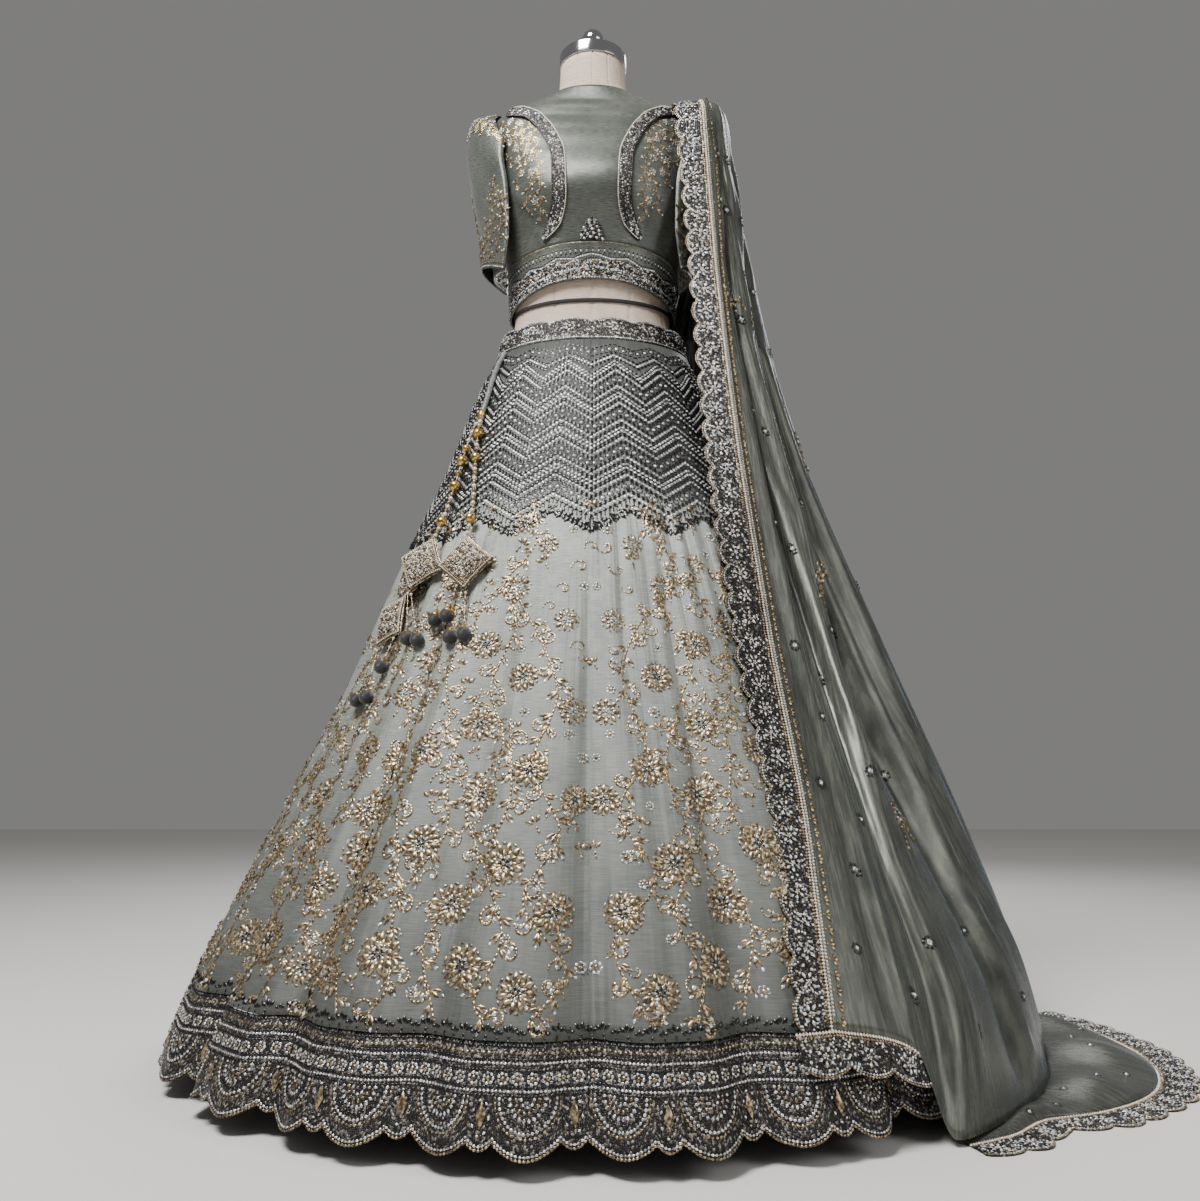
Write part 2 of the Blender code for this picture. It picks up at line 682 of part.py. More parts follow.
def waistband(mat, group):
    steps = WAISTBAND_SCALLOPS * 4
    rows = []
    for share in (0.0, 1.0):
        row = []
        for k in range(steps):
            azimuth = 360.0 * k / steps
            arch = abs(math.sin(math.pi * WAISTBAND_SCALLOPS * azimuth / 360.0))
            top = WAISTBAND_TOP - WAISTBAND_SCALLOP_DEPTH * (1.0 - arch)
            row.append(skirt_point(azimuth, top + (WAISTBAND_BOTTOM + GAP - top) * share, 0.001))
        rows.append(row)
    wall("lehenga_waistband", rows, NET, mat, group, closed=True)


def kali(number, mat, group):
    """One gored panel, with its yoke of chevron bead rows raised in the outer face."""
    columns = 6
    width = 360.0 / KALIS
    seam = math.degrees(GAP / 2 / 0.15)
    top = WAISTBAND_BOTTOM - SEAM_RISE
    pitch = (top - YOKE_BOTTOM) / CHEVRON_ROWS
    lower = (0.700, 0.600, 0.490, 0.375, 0.250, BORDER_TOP + SEAM_RISE)
    silk_share = SILK / (SILK + BEADING)
    rows, relief = [], []
    for r in range(CHEVRON_ROWS + 1 + len(lower)):
        row, shares = [], []
        for c in range(columns + 1):
            share = c / columns
            narrow = seam * (1.0 - 2.0 * share)
            azimuth = width * (number + share) + narrow
            point_up = CHEVRON_DROP * (2.0 * min(share, 1.0 - share) - 1.0)
            if r <= CHEVRON_ROWS:
                height = top - pitch * r + point_up * min(1.0, r / 1.5)
                shares.append(1.0 if r % 2 else silk_share)
            else:
                k = r - CHEVRON_ROWS - 1
                height = lower[k] + point_up * (0.6, 0.3, 0.0, 0.0, 0.0, 0.0)[k]
                shares.append(silk_share)
            row.append(skirt_point(azimuth, height))
        rows.append(row)
        relief.append(shares)
    wall("kali_%02d" % (number + 1), rows, SILK + BEADING, mat, group, raised=relief)


def hem_scallop(share):
    """How far the hem reaches down at a share of one scallop pair."""
    if share < LARGE_SCALLOP_SHARE:
        return LARGE_SCALLOP * math.sin(math.pi * share / LARGE_SCALLOP_SHARE)
    small = (share - LARGE_SCALLOP_SHARE) / (1.0 - LARGE_SCALLOP_SHARE)
    return SMALL_SCALLOP * math.sin(math.pi * small)


def hem_border(number, mat, group):
    stops = (0.0, 0.18, 0.36, 0.54, LARGE_SCALLOP_SHARE, 0.86)
    shares = [(pair + stop) / SCALLOP_PAIRS_PER_KALI for pair in range(SCALLOP_PAIRS_PER_KALI) for stop in stops]
    shares.append(1.0)
    width = 360.0 / KALIS
    seam = math.degrees(GAP / 2 / 0.53)
    rows = []
    for level in (0.0, 1.0):
        row = []
        for share in shares:
            azimuth = width * (number + share) + seam * (1.0 - 2.0 * share)
            pair = (share * SCALLOP_PAIRS_PER_KALI) % 1.0 if share < 1.0 else 0.0
            hem = HEM_HEIGHT + LARGE_SCALLOP - hem_scallop(pair)
            row.append(skirt_point(azimuth, BORDER_TOP + (hem - BORDER_TOP) * level))
        rows.append(row)
    wall("hem_border_%02d" % (number + 1), rows, NET, mat, group)


# The dupatta

def fall_line(line, steps):
    """One long fold line of the front fall, from the shoulder down."""
    end = next(row for row in FALL_ENDS if row.line == line)
    heights = [row.height for row in reversed(FALL)]
    spots = [getattr(row, line) for row in reversed(FALL)]
    top = FALL[0].height
    first = getattr(FALL[0], line)
    points = []
    shoulder = Vector(end.shoulder)
    corner = Vector((first[0], first[1] * 0.86 + shoulder.y * 0.14, shoulder.z - 0.008))
    for k in range(3):
        t = k / 3
        points.append((1 - t) ** 2 * shoulder + 2 * t * (1 - t) * corner + t * t * Vector((*first, top)))
    for k in range(steps + 1):
        z = top + (end.bottom - top) * k / steps
        points.append(Vector((
            curve_value(heights, [s[0] for s in spots], z),
            curve_value(heights, [s[1] for s in spots], z),
            z,
        )))
    return points


def field_rows(lines, between):
    """Rows across a set of fold lines, with points added between them on a smooth curve."""
    rows = []
    for r in range(len(lines[0])):
        key = [line[r] for line in lines]
        count = (len(key) - 1) * between
        rows.append([through(key, k / count) for k in range(count + 1)])
    return rows


def scalloped_strip(name, inner, outer, mat, group, parts=3):
    """A border strip between a sewn line and a free line that ends in scallops. It has a column at
    each point of the sewn line, so that it keeps one gap to the panel, and parts to a scallop."""
    steps = [(b - a).length for a, b in zip(outer, outer[1:])]
    total = sum(steps)
    count = max(1, round(total / DUPATTA_SCALLOP_PITCH))
    corners = [sum(steps[:k]) for k in range(len(outer))]
    places = list(corners)
    for k in range(1, count * parts):
        spot = total * k / (count * parts)
        if min(abs(spot - corner) for corner in corners) > MIN_COLUMN:
            places.append(spot)
    rows = [[], []]
    for spot in sorted(places):
        k = max(i for i in range(len(steps)) if corners[i] <= spot + 1e-9)
        t = (spot - corners[k]) / steps[k]
        sewn = inner[k] + (inner[k + 1] - inner[k]) * t
        free = outer[k] + (outer[k + 1] - outer[k]) * t
        arch = abs(math.sin(math.pi * count * spot / total))
        reach = 1.0 - (DUPATTA_SCALLOP / DUPATTA_BORDER) * (1.0 - arch)
        rows[0].append(sewn)
        rows[1].append(sewn + (free - sewn) * reach)
    return wall(name, rows, NET, mat, group)


def dense(points, count):
    return [through(points, k / count) for k in range(count + 1)]


def shifted(points, others, distance):
    """points, moved towards others by a distance."""
    return [p + (q - p).normalized() * distance for p, q in zip(points, others)]


def build_dupatta(group, silk, border):
    steps = 11
    names = ("seam", "slope", "valley", "rim", "hollow", "ridge", "outer", "back", "far")
    lines = {name: fall_line(name, steps) for name in names + ("edge",)}
    rows = field_rows([lines[name] for name in names], 2)
    wall("dupatta_front_fall", rows, SILK, silk, group)
    front_top = rows[0]

    sewn = shifted(lines["seam"], lines["edge"], GAP)
    scalloped_strip("dupatta_border_front", [p for p in reversed(sewn)],
                    [p for p in reversed(lines["edge"])], border, group)

    away = [far + (far - back).normalized() * DUPATTA_BORDER
            for far, back in zip(lines["far"], lines["back"])]
    sewn = shifted(lines["far"], away, GAP)
    scalloped_strip("dupatta_border_far", sewn, away, border, group, parts=2)

    valley = 2 * names.index("valley")
    drop = Vector((0.0, 0.0, -SEAM_RISE))
    sewn = [p + drop for p in [lines["edge"][-1]] + rows[-1][:valley + 1]]
    free = []
    for p in sewn:
        outward = Vector((p.x, p.y, 0.0)).normalized()
        free.append(p + outward * HANGING_FLARE + Vector((0.0, 0.0, HANGING_FLARE - DUPATTA_BORDER - 0.017)))
    scalloped_strip("dupatta_border_hanging", sewn, free, border, group, parts=4)

    rows = [[], [], []]
    for section in TRAIN:
        foot, seam = Vector((*section.foot, 0.0)), Vector((*section.seam, 0.0))
        middle = foot + (seam - foot) * TRAIN_WAVE_SHARE
        rows[0].append(foot)
        rows[1].append(Vector((middle.x, middle.y, section.wave)))
        rows[2].append(seam)
    fine = (len(TRAIN) - 1) * 2
    rows = [dense(row, fine) for row in rows]
    wall("dupatta_train", rows, SILK, silk, group)

    edge = dense([Vector((*row.edge, 0.0)) for row in TRAIN], fine)
    scalloped_strip("dupatta_border_floor", shifted(rows[2], edge, TRAIN_SEAM), edge, border, group)
    build_back_fall(front_top, group, silk, border)


def back_depth(x, height, pleat):
    """How far back the cloth hangs: clear of the choli above and of the skirt below."""
    heights = [row.height for row in reversed(BACK_LINE)]
    hang = curve_value(heights, [row.depth for row in reversed(BACK_LINE)], height)
    if height > 1.15:
        return hang + pleat * min(1.0, (1.53 - height) / 0.1)
    row = section_at(SKIRT, height)
    inside = max(0.0, 1.0 - (x / (row.half_width + 0.02)) ** 2)
    skirt = (row.half_depth + 0.012) * math.sqrt(inside)
    sag = 0.55 * hang + 0.45 * skirt if skirt < hang else skirt
    return max(sag, skirt) + pleat


def build_back_fall(front_top, group, silk, border):
    """The end that hangs behind. Its top row follows the front fall's, over the shoulder."""
    steps = 9
    columns = len(front_top) - 1
    rows = [[p + Vector((0.0, SHOULDER_SEAM, 0.0)) for p in front_top]]
    for r in range(1, steps + 1):
        t = r / steps
        z = BACK_LINE[0].height + (BACK_FALL_END - BACK_LINE[0].height) * t ** 1.5
        spread = smooth_step((t - BACK_GATHERED) / (1.0 - BACK_GATHERED))
        row = []
        for line in BACK_FALL:
            x = line.top + (line.bottom - line.top) * spread
            row.append(Vector((x, back_depth(x, z, line.pleat), z)))
        rows.append([through(row, k / columns) for k in range(columns + 1)])
    rows = [list(reversed(row)) for row in rows]
    wall("dupatta_back_fall", rows, SILK, silk, group)

    inner_edge = [row[-1] for row in rows]
    path = [(p, Vector((-1.0, 0.0, 0.0))) for p in inner_edge[:-1]]
    path.append((inner_edge[-1], Vector((-1.0, 0.0, -1.0))))
    path += [(p, Vector((0.0, 0.0, -1.0))) for p in reversed(rows[-1][:-1])]
    sewn, free = [], []
    for p, out in path:
        rim = p + out * DUPATTA_BORDER
        sewn.append(p + out.normalized() * BACK_SEAM)
        free.append(Vector((rim.x, max(p.y - 0.004, back_depth(rim.x, rim.z, 0.002)), rim.z)))
    scalloped_strip("dupatta_border_back", list(reversed(sewn)), list(reversed(free)), border, group, parts=2)


# The drawstring and its latkans

def over_skirt(place):
    return skirt_point(place.azimuth, place.height, place.lift)


def dori_line():
    return dense([over_skirt(place) for place in DORI_ROUTE], DORI_POINTS)


def dori(mat, group):
    """The drawstring's free end, from under the waistband down to the bead strands."""
    points = dori_line()
    tube("dori", points, [DORI_DIAMETER / 2] * len(points), 2, mat, group)


def strand_start(side):
    """Just below the drawstring's end, to one side of its middle."""
    end, before = dori_line()[-1], dori_line()[-2]
    ahead = (end - before).normalized()
    out = Vector((end.x, end.y, 0.0)).normalized()
    return end + ahead * STRAND_DROP + ahead.cross(out).normalized() * (-side) * STRAND_SPREAD


def bead_strand(strand, mat, group):
    """A string of beads as one solid, thick at each bead and thin between."""
    hook = pad_hook(strand.pad, strand.across, strand.up, 0.0, STRAND_HOOK)
    stops = [strand_start(strand.side)] + [over_skirt(p) for p in strand.route] + [hook]
    route = dense(stops, 30)
    step = length_of(route) / len(strand.sizes)
    points, radii = [route[0]], [LOOP_RADIUS]
    for k, size in enumerate(strand.sizes):
        for share, swell in ((0.10, 0.5), (0.35, 1.0), (0.65, 1.0), (0.90, 0.5)):
            spot, _ = along(route, step * (k + share))
            points.append(spot)
            radii.append(max(LOOP_RADIUS, size * swell))
    points.append(route[-1])
    radii.append(LOOP_RADIUS)
    tube(strand.name, points, radii, 1, mat, group)


def pad_frame(name):
    """The middle of a pad and its own directions: across, up and out."""
    pad = next(row for row in PADS if row.name == name)
    centre = over_skirt(pad.place)
    facing = math.radians(pad.facing)
    out = Vector((math.sin(facing), -math.cos(facing), PAD_LEAN)).normalized()
    across = Vector((0.0, 0.0, 1.0)).cross(out).normalized()
    up = out.cross(across)
    turn = math.radians(pad.turn)
    u = across * math.cos(turn) + up * math.sin(turn)
    v = up * math.cos(turn) - across * math.sin(turn)
    return centre, u, v, out


def pad_point(frame, a, b):
    """A point of the pad's middle layer. Its sides curve in a little between the corners."""
    centre, u, v, _ = frame
    pull = 1.0 - 0.05 * (1.0 - a * a) * b * b - 0.05 * (1.0 - b * b) * a * a
    return centre + (u * a + v * b) * PAD_SIZE / 2 * pull


def pad_hook(name, a, b, side, clear):
    """Where a strand or loop meets a pad's rim, just clear of it."""
    frame = pad_frame(name)
    spot = pad_point(frame, a, b)
    away = (spot - frame[0]).normalized()
    return spot + away * clear + frame[3].cross(away) * side * HOOK_SPREAD


def latkan_pad(pad, mat, group):
    """A padded square, plump in the middle, lying against the skirt."""
    frame = pad_frame(pad.name)
    grid = 4
    layers = []
    for face in (-1.0, 1.0):
        for r in range(grid + 1):
            for c in range(grid + 1):
                a, b = 2.0 * c / grid - 1.0, 2.0 * r / grid - 1.0
                plump = 0.18 + 0.82 * (1.0 - a * a) ** 0.6 * (1.0 - b * b) ** 0.6
                layers.append(pad_point(frame, a, b) + frame[3] * face * plump * PAD_THICKNESS / 2)
    side = grid + 1
    back_count = side * side
    faces = []
    for r in range(grid):
        for c in range(grid):
            q = (r * side + c, r * side + c + 1, (r + 1) * side + c + 1, (r + 1) * side + c)
            faces.append(tuple(reversed(q)))
            faces.append(tuple(back_count + k for k in q))
    rim = [c for c in range(grid)] + [r * side + grid for r in range(grid)]
    rim += [grid * side + c for c in range(grid, 0, -1)] + [r * side for r in range(grid, 0, -1)]
    for a, b in zip(rim, rim[1:] + rim[:1]):
        faces.append((a, b, back_count + b, back_count + a))
    mesh = bpy.data.meshes.new(pad.name)
    mesh.from_pydata([tuple(p) for p in layers], [], faces)
    in_triangles(add_object(pad.name, mesh, mat, group))


def latkan_ball(number, ball, mat, group):
    """A bead loop, a metal cap and a cloth ball, hung in a row from a pad's rim."""
    clear = HOOK_CORNER if abs(ball.across * ball.up) == 1.0 else HOOK_EDGE
    top, low = pad_hook(ball.pad, ball.across, ball.up, ball.side, clear), over_skirt(ball.ball)
    hang = (low - top).normalized()
    reach = (low - top).length
    profile = [(0.0, LOOP_RADIUS), (0.55, 0.0030), (0.66, 0.0055), (0.74, 0.0058)]
    points = [top + hang * reach * share for share, _ in profile]
    radii = [size for _, size in profile]
    for angle in (-58, -20, 20, 58):
        points.append(low + hang * BALL_RADIUS * math.sin(math.radians(angle)))
        radii.append(BALL_RADIUS * math.cos(math.radians(angle)))
    tube("latkan_ball_%d" % number, points, radii, 1, mat, group)


def main():
    clear_scene()
    group = make_collection("Lehenga choli")
    form_cloth = make_material("Form cotton", (0.60, 0.50, 0.40), 0.85)
    chrome = make_material("Chrome", (0.75, 0.75, 0.76), 0.12, 1.0)
    tape = make_material("Black tape", (0.01, 0.01, 0.01), 0.6)
    stand = make_material("Painted steel", (0.03, 0.03, 0.03), 0.4, 0.6)
    silk = make_material("Grey silk", (0.38, 0.40, 0.38), 0.45, 0.1)
    beads = make_material("Bead embroidery", (0.12, 0.11, 0.10), 0.35, 0.5)
    satin = make_material("Olive satin", (0.26, 0.26, 0.22), 0.35, 0.1)
    cord = make_material("Grey cord", (0.30, 0.30, 0.30), 0.5)
    gold = make_material("Gold beads", (0.65, 0.42, 0.12), 0.3, 0.9)
    felt = make_material("Dark cloth balls", (0.03, 0.03, 0.03), 0.7)

    build_form(group, form_cloth, chrome, tape, stand)

    choli_panel("choli_front", 0.0, silk, group)
    choli_panel("choli_back", 180.0, silk, group)
    choli_band("choli_band_front", 0.0, beads, group)
    choli_band("choli_band_back", 180.0, beads, group)
    sleeve("sleeve_left", 1, silk, group)
    sleeve("sleeve_right", -1, silk, group)
    lapel("lapel_left", 1, beads, group)
    lapel("lapel_right", -1, beads, group)
    centre_motif(beads, group)

    waistband(beads, group)
    for number in range(KALIS):
        kali(number, silk, group)
        hem_border(number, beads, group)

    build_dupatta(group, satin, beads)

    dori(cord, group)
    for strand in STRANDS:
        bead_strand(strand, gold, group)
    for pad in PADS:
        latkan_pad(pad, beads, group)
    for number, ball in enumerate(BALLS, 1):
        latkan_ball(number, ball, felt, group)


main()
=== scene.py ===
import math

import bpy
import numpy as np
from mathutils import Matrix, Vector


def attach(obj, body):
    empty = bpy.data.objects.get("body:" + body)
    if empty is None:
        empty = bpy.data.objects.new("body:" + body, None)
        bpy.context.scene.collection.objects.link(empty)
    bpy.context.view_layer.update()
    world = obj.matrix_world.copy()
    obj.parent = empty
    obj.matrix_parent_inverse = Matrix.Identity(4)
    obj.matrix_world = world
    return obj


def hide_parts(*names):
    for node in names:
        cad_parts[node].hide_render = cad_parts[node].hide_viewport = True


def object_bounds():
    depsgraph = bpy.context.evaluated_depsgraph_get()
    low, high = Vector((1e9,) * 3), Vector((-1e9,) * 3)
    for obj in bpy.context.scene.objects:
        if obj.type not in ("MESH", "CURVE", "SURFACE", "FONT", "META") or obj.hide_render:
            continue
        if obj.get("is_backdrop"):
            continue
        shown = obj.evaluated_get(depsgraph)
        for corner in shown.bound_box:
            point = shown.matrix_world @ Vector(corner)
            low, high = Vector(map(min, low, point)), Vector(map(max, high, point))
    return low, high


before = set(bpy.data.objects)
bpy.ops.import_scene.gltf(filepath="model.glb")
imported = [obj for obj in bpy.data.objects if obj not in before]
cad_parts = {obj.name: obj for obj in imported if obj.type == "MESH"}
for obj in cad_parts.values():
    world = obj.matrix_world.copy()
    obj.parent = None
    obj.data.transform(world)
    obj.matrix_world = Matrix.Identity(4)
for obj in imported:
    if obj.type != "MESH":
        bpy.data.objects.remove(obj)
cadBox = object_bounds()
print("frame loaded,", len(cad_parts), "nodes")

# Metres. -Y is the front. An azimuth is in degrees from the front towards +X, the wearer's left.
# Cloth grids have their rows from the top down and their columns towards rising azimuth.

# small tools


def hexColour(text):  # sRGB #rrggbb to linear
    parts = [int(text[k:k + 2], 16) / 255 for k in (1, 3, 5)]
    return [p / 12.92 if p <= 0.04045 else ((p + 0.055) / 1.055) ** 2.4 for p in parts] + [1.0]


def deselectAll():
    for obj in bpy.context.selected_objects:
        obj.select_set(False)


def unit(vectors):
    return vectors / np.maximum(np.linalg.norm(vectors, axis=-1, keepdims=True), 1e-9)


def smoothStep(t):
    t = np.clip(t, 0.0, 1.0)
    return t * t * (3 - 2 * t)


# a smooth curve through a table with rising xs, with no overshoot between its rows
def curveThrough(xs, ys, x):
    xs, ys = np.asarray(xs, float), np.asarray(ys, float)
    x = np.clip(np.asarray(x, float), xs[0], xs[-1])
    steps = np.diff(xs).reshape([-1] + [1] * (ys.ndim - 1))
    slope = np.diff(ys, axis=0) / steps
    before, after = slope[:-1], slope[1:]
    same = before * after > 0
    middle = np.where(same, 2 * before * after / np.where(same, before + after, 1), 0)
    tangent = np.concatenate([slope[:1], middle, slope[-1:]])
    i = np.clip(np.searchsorted(xs, x, side="right") - 1, 0, len(xs) - 2)
    h = xs[i + 1] - xs[i]
    t = (x - xs[i]) / h
    h, t = (k.reshape(k.shape + (1,) * (ys.ndim - 1)) for k in (h, t))
    return ((2 * t ** 3 - 3 * t ** 2 + 1) * ys[i] + (t ** 3 - 2 * t ** 2 + t) * h * tangent[i]
            + (3 * t ** 2 - 2 * t ** 3) * ys[i + 1] + (t ** 3 - t ** 2) * h * tangent[i + 1])


def through(points, count):  # count + 1 places on a smooth curve through points
    points = np.asarray(points, float)
    return curveThrough(np.linspace(0, 1, len(points)), points, np.linspace(0, 1, count + 1))


def lengthsAlong(points):
    return np.concatenate([[0.0], np.cumsum(np.linalg.norm(np.diff(points, axis=0), axis=1))])


# Places an even distance apart along a line, measured in its first three columns, and the directions there.
def spaced(points, spacing):
    run = lengthsAlong(points[:, :3])
    count = max(2, int(round(run[-1] / spacing)) + 1)
    at = np.linspace(0, run[-1], count)
    places = np.stack([np.interp(at, run, points[:, k]) for k in range(points.shape[1])], 1)
    return places, unit(np.gradient(places, axis=0))


def tableOf(*values):  # numbers and lists side by side, as rows of a table
    return np.column_stack(np.broadcast_arrays(*values))


# materials

def addNode(tree, kind, inputs=None, **settings):
    node = tree.nodes.new("ShaderNode" + kind)
    for key, value in settings.items():
        setattr(node, key, value)
    for socket, value in (inputs or {}).items():
        if isinstance(value, bpy.types.NodeSocket):
            tree.links.new(value, node.inputs[socket])
        else:
            node.inputs[socket].default_value = value
    return node


def newMaterial(name, colour, roughness, **sockets):
    mat = bpy.data.materials.new(name)
    mat.use_nodes = True
    shader = mat.node_tree.nodes["Principled BSDF"]
    shader.inputs["Base Color"].default_value = hexColour(colour)
    shader.inputs["Roughness"].default_value = roughness
    for key, value in sockets.items():
        shader.inputs[key.replace("_", " ")].default_value = value
    mat.diffuse_color = hexColour(colour)
    return mat, mat.node_tree, shader


def setColour(tree, shader, factor, stops):  # a colour ramp; stops are (place, hex)
    node = addNode(tree, "ValToRGB", {0: factor})
    ramp = node.color_ramp.elements
    ramp[0].position, ramp[1].position = stops[0][0], stops[-1][0]
    for place, _ in stops[1:-1]:
        ramp.new(place)
    for element, (_, colour) in zip(ramp, stops):
        element.color = hexColour(colour)
    tree.links.new(node.outputs[0], shader.inputs["Base Color"])


def setBump(tree, shader, strength, distance, height):
    bump = addNode(tree, "Bump", {"Strength": strength, "Distance": distance, "Height": height})
    tree.links.new(bump.outputs[0], shader.inputs["Normal"])


def worked(tree, first, second, operation="ADD"):
    return addNode(tree, "Math", {0: first, 1: second}, operation=operation).outputs[0]


def clothPlace(tree):  # the place on the piece's own UV map, in metres
    return addNode(tree, "UVMap", uv_map="cloth").outputs[0]


def objectNoise(tree, scale, detail=2.0):  # noise that is fixed to the object
    place = addNode(tree, "TexCoord").outputs["Object"]
    return addNode(tree, "TexNoise", {"Vector": place, "Scale": scale, "Detail": detail}).outputs[0]


# Woven cloth: slow tone changes, slubs that run along the weft, and a thread grid in the bump,
# drawn coarser than real so that it shows.
def wovenCloth(name, tones, roughness, thread, slub, bump, **sockets):
    mat, tree, shader = newMaterial(name, tones[1], roughness, **sockets)
    place = clothPlace(tree)
    slow = addNode(tree, "TexNoise", {"Vector": place, "Scale": 14.0, "Detail": 3.0}).outputs[0]
    stretch = addNode(tree, "Mapping", {"Vector": place, "Scale": (1 / slub[0], 1 / slub[1], 1)}).outputs[0]
    slubs = addNode(tree, "TexNoise", {"Vector": stretch, "Scale": 1.0, "Detail": 4.0}).outputs[0]
    mean = worked(tree, worked(tree, worked(tree, slow, slubs), slubs), 1 / 3, "MULTIPLY")
    setColour(tree, shader, mean, ((0.36, tones[0]), (0.5, tones[1]), (0.64, tones[2])))
    warp, weft = (addNode(tree, "TexWave", {"Vector": place, "Scale": 0.5 / thread, "Distortion": 0.6},
                          bands_direction=way).outputs[1] for way in "XY")
    rough = addNode(tree, "MapRange", {0: slubs, 3: roughness - 0.06, 4: roughness + 0.08})
    tree.links.new(rough.outputs[0], shader.inputs["Roughness"])
    setBump(tree, shader, bump, 0.0004, worked(tree, worked(tree, warp, weft, "MAXIMUM"), slubs))
    return mat, tree, shader


# Grey raw silk, handloom: a soft dry lustre, with slubs that run across. Threads drawn 0.9 mm apart.
greySilk, greyTree, greyShader = wovenCloth(
    "handloomGreySilk", ("#868a84", "#a0a49d", "#b8bbb2"), 0.42, 0.0009, (0.018, 0.0012), 0.35,
    IOR=1.5, Metallic=0.15, Sheen_Weight=0.1, Sheen_Roughness=0.4)
# The skirt's colour is darkened towards the hem as painted shade of the light falling off downwards, and darkened
# under the yoke's dense dark beads; gathers run down it.
high = addNode(greyTree, "SeparateXYZ", {0: addNode(greyTree, "TexCoord").outputs["Object"]}).outputs[2]
# painted shade: from the top of the skirt down to the hem its colour is made far darker
low = addNode(greyTree, "MapRange", {0: high, 1: 0.12, 2: 0.74, 3: 0.22, 4: 0.92}).outputs[0]
yokeTone = addNode(greyTree, "MapRange", {0: high, 1: 0.765, 2: 0.800, 3: 1.0, 4: 0.20}).outputs[0]
colourIn, normalIn = greyShader.inputs["Base Color"], greyShader.inputs["Normal"]
# the painted hem shade times the darker ground under the yoke's beads
paintedHemShadeAndYokeTone = addNode(greyTree, "HueSaturation", {"Color": colourIn.links[0].from_socket,
                                            "Value": worked(greyTree, low, yokeTone, "MULTIPLY")})
greyTree.links.new(paintedHemShadeAndYokeTone.outputs[0], colourIn)
narrow = addNode(greyTree, "Mapping", {"Vector": clothPlace(greyTree), "Scale": (1 / 0.015, 1 / 0.40, 1)})
crinkle = addNode(greyTree, "TexNoise", {"Vector": narrow.outputs[0], "Scale": 1.0, "Detail": 2.0})
gather = addNode(greyTree, "Bump", {"Strength": 0.55, "Distance": 0.006, "Height": crinkle.outputs[0],
                                    "Normal": normalIn.links[0].from_socket})
greyTree.links.new(gather.outputs[0], normalIn)
# The choli's silk shot with blue: greener and darker than the skirt.
shotSilk, _, _ = wovenCloth("shotGreySilk", ("#3f423f", "#51544e", "#6c6f65"), 0.28, 0.0009,
                            (0.010, 0.0011), 0.22, IOR=1.5, Metallic=0.35, Sheen_Weight=0.1)
# Charmeuse satin: long floats reflect along the folds, bluish where it turns away.
oliveSatin, _, satinShader = wovenCloth(
    "oliveSatin", ("#444642", "#54564f", "#696b61"), 0.26, 0.0008, (0.004, 0.050), 0.16,
    IOR=1.52, Metallic=0.55, Sheen_Weight=0.2, Sheen_Roughness=0.3)
satinShader.inputs["Sheen Tint"].default_value = hexColour("#8da0b4")


# Beaded net: a dark sheer ground hidden under small glass beads about 2 mm apart; some are paler silver beads, with
# their glints painted into that colour.
def beadedNet(name, ground, paintedGlint, bead):
    mat, tree, shader = newMaterial(name, ground, 0.42, Metallic=0.35, IOR=1.5)
    cells = addNode(tree, "TexVoronoi", {"Vector": clothPlace(tree), "Scale": 1 / bead, "Randomness": 0.55})
    pick = addNode(tree, "SeparateColor", {0: cells.outputs["Color"]}).outputs[0]
    # the palest cells: silver beads, partly a painted glint
    setColour(tree, shader, pick, ((0.0, ground), (0.66, ground), (0.84, "#5f5850"), (0.98, paintedGlint)))
    dome = addNode(tree, "MapRange", {0: cells.outputs["Distance"], 1: 0.0, 2: 0.6, 3: 1.0, 4: 0.0}).outputs[0]
    setBump(tree, shader, 0.8, 0.0012, dome)
    return mat


borderNet = beadedNet("beadedNet", "#171514", "#8f8b83", 0.0021)
bandNet = beadedNet("beadedBand", "#1b1918", "#8f8b83", 0.0020)
padNet = beadedNet("beadedPad", "#3d332b", "#cabca6", 0.0022)


# Sewn metal and glass pieces: a cast or cut finish with small tone changes from piece to piece; on the foiled glass
# the tones run up to white, partly as painted glints.
def stoneFinish(name, tones, roughness, metallic, **sockets):
    mat, tree, shader = newMaterial(name, tones[1], roughness, Metallic=metallic, **sockets)
    setColour(tree, shader, objectNoise(tree, 260.0, 1.0), ((0.35, tones[0]), (0.5, tones[1]), (0.65, tones[2])))
    return mat


# Foiled glass, hematite, copper zardozi wire, gilt brass, glass pearl: in the order stones name them.
silver, dark, copper, gold, pearl = range(5)
stones = [
    # the foiled glass: grey to pure white from stone to stone, partly its own tone, partly painted glints
    stoneFinish("foiledGlass", ("#6f7072", "#bcbcb8", "#ffffff"), 0.16, 0.30),
    stoneFinish("hematiteBeads", ("#121110", "#1d1b1a", "#35322f"), 0.22, 0.4, IOR=1.6),
    stoneFinish("copperZari", ("#5a4c3a", "#8b775a", "#c8b693"), 0.26, 0.6),
    stoneFinish("giltBrass", ("#94753a", "#c4a055", "#ead08c"), 0.28, 0.9),
    stoneFinish("glassPearl", ("#c4b5a1", "#d8cab6", "#ece2d2"), 0.30, 0.0, IOR=1.53, Coat_Weight=0.5),
]

# Calico over a padded form: matt, off white, with a plain weave.
formCotton, _, _ = wovenCloth("formCalico", ("#b7a593", "#c8b6a4", "#d6c6b5"), 0.88, 0.0010,
                              (0.012, 0.0020), 0.45, IOR=1.5)
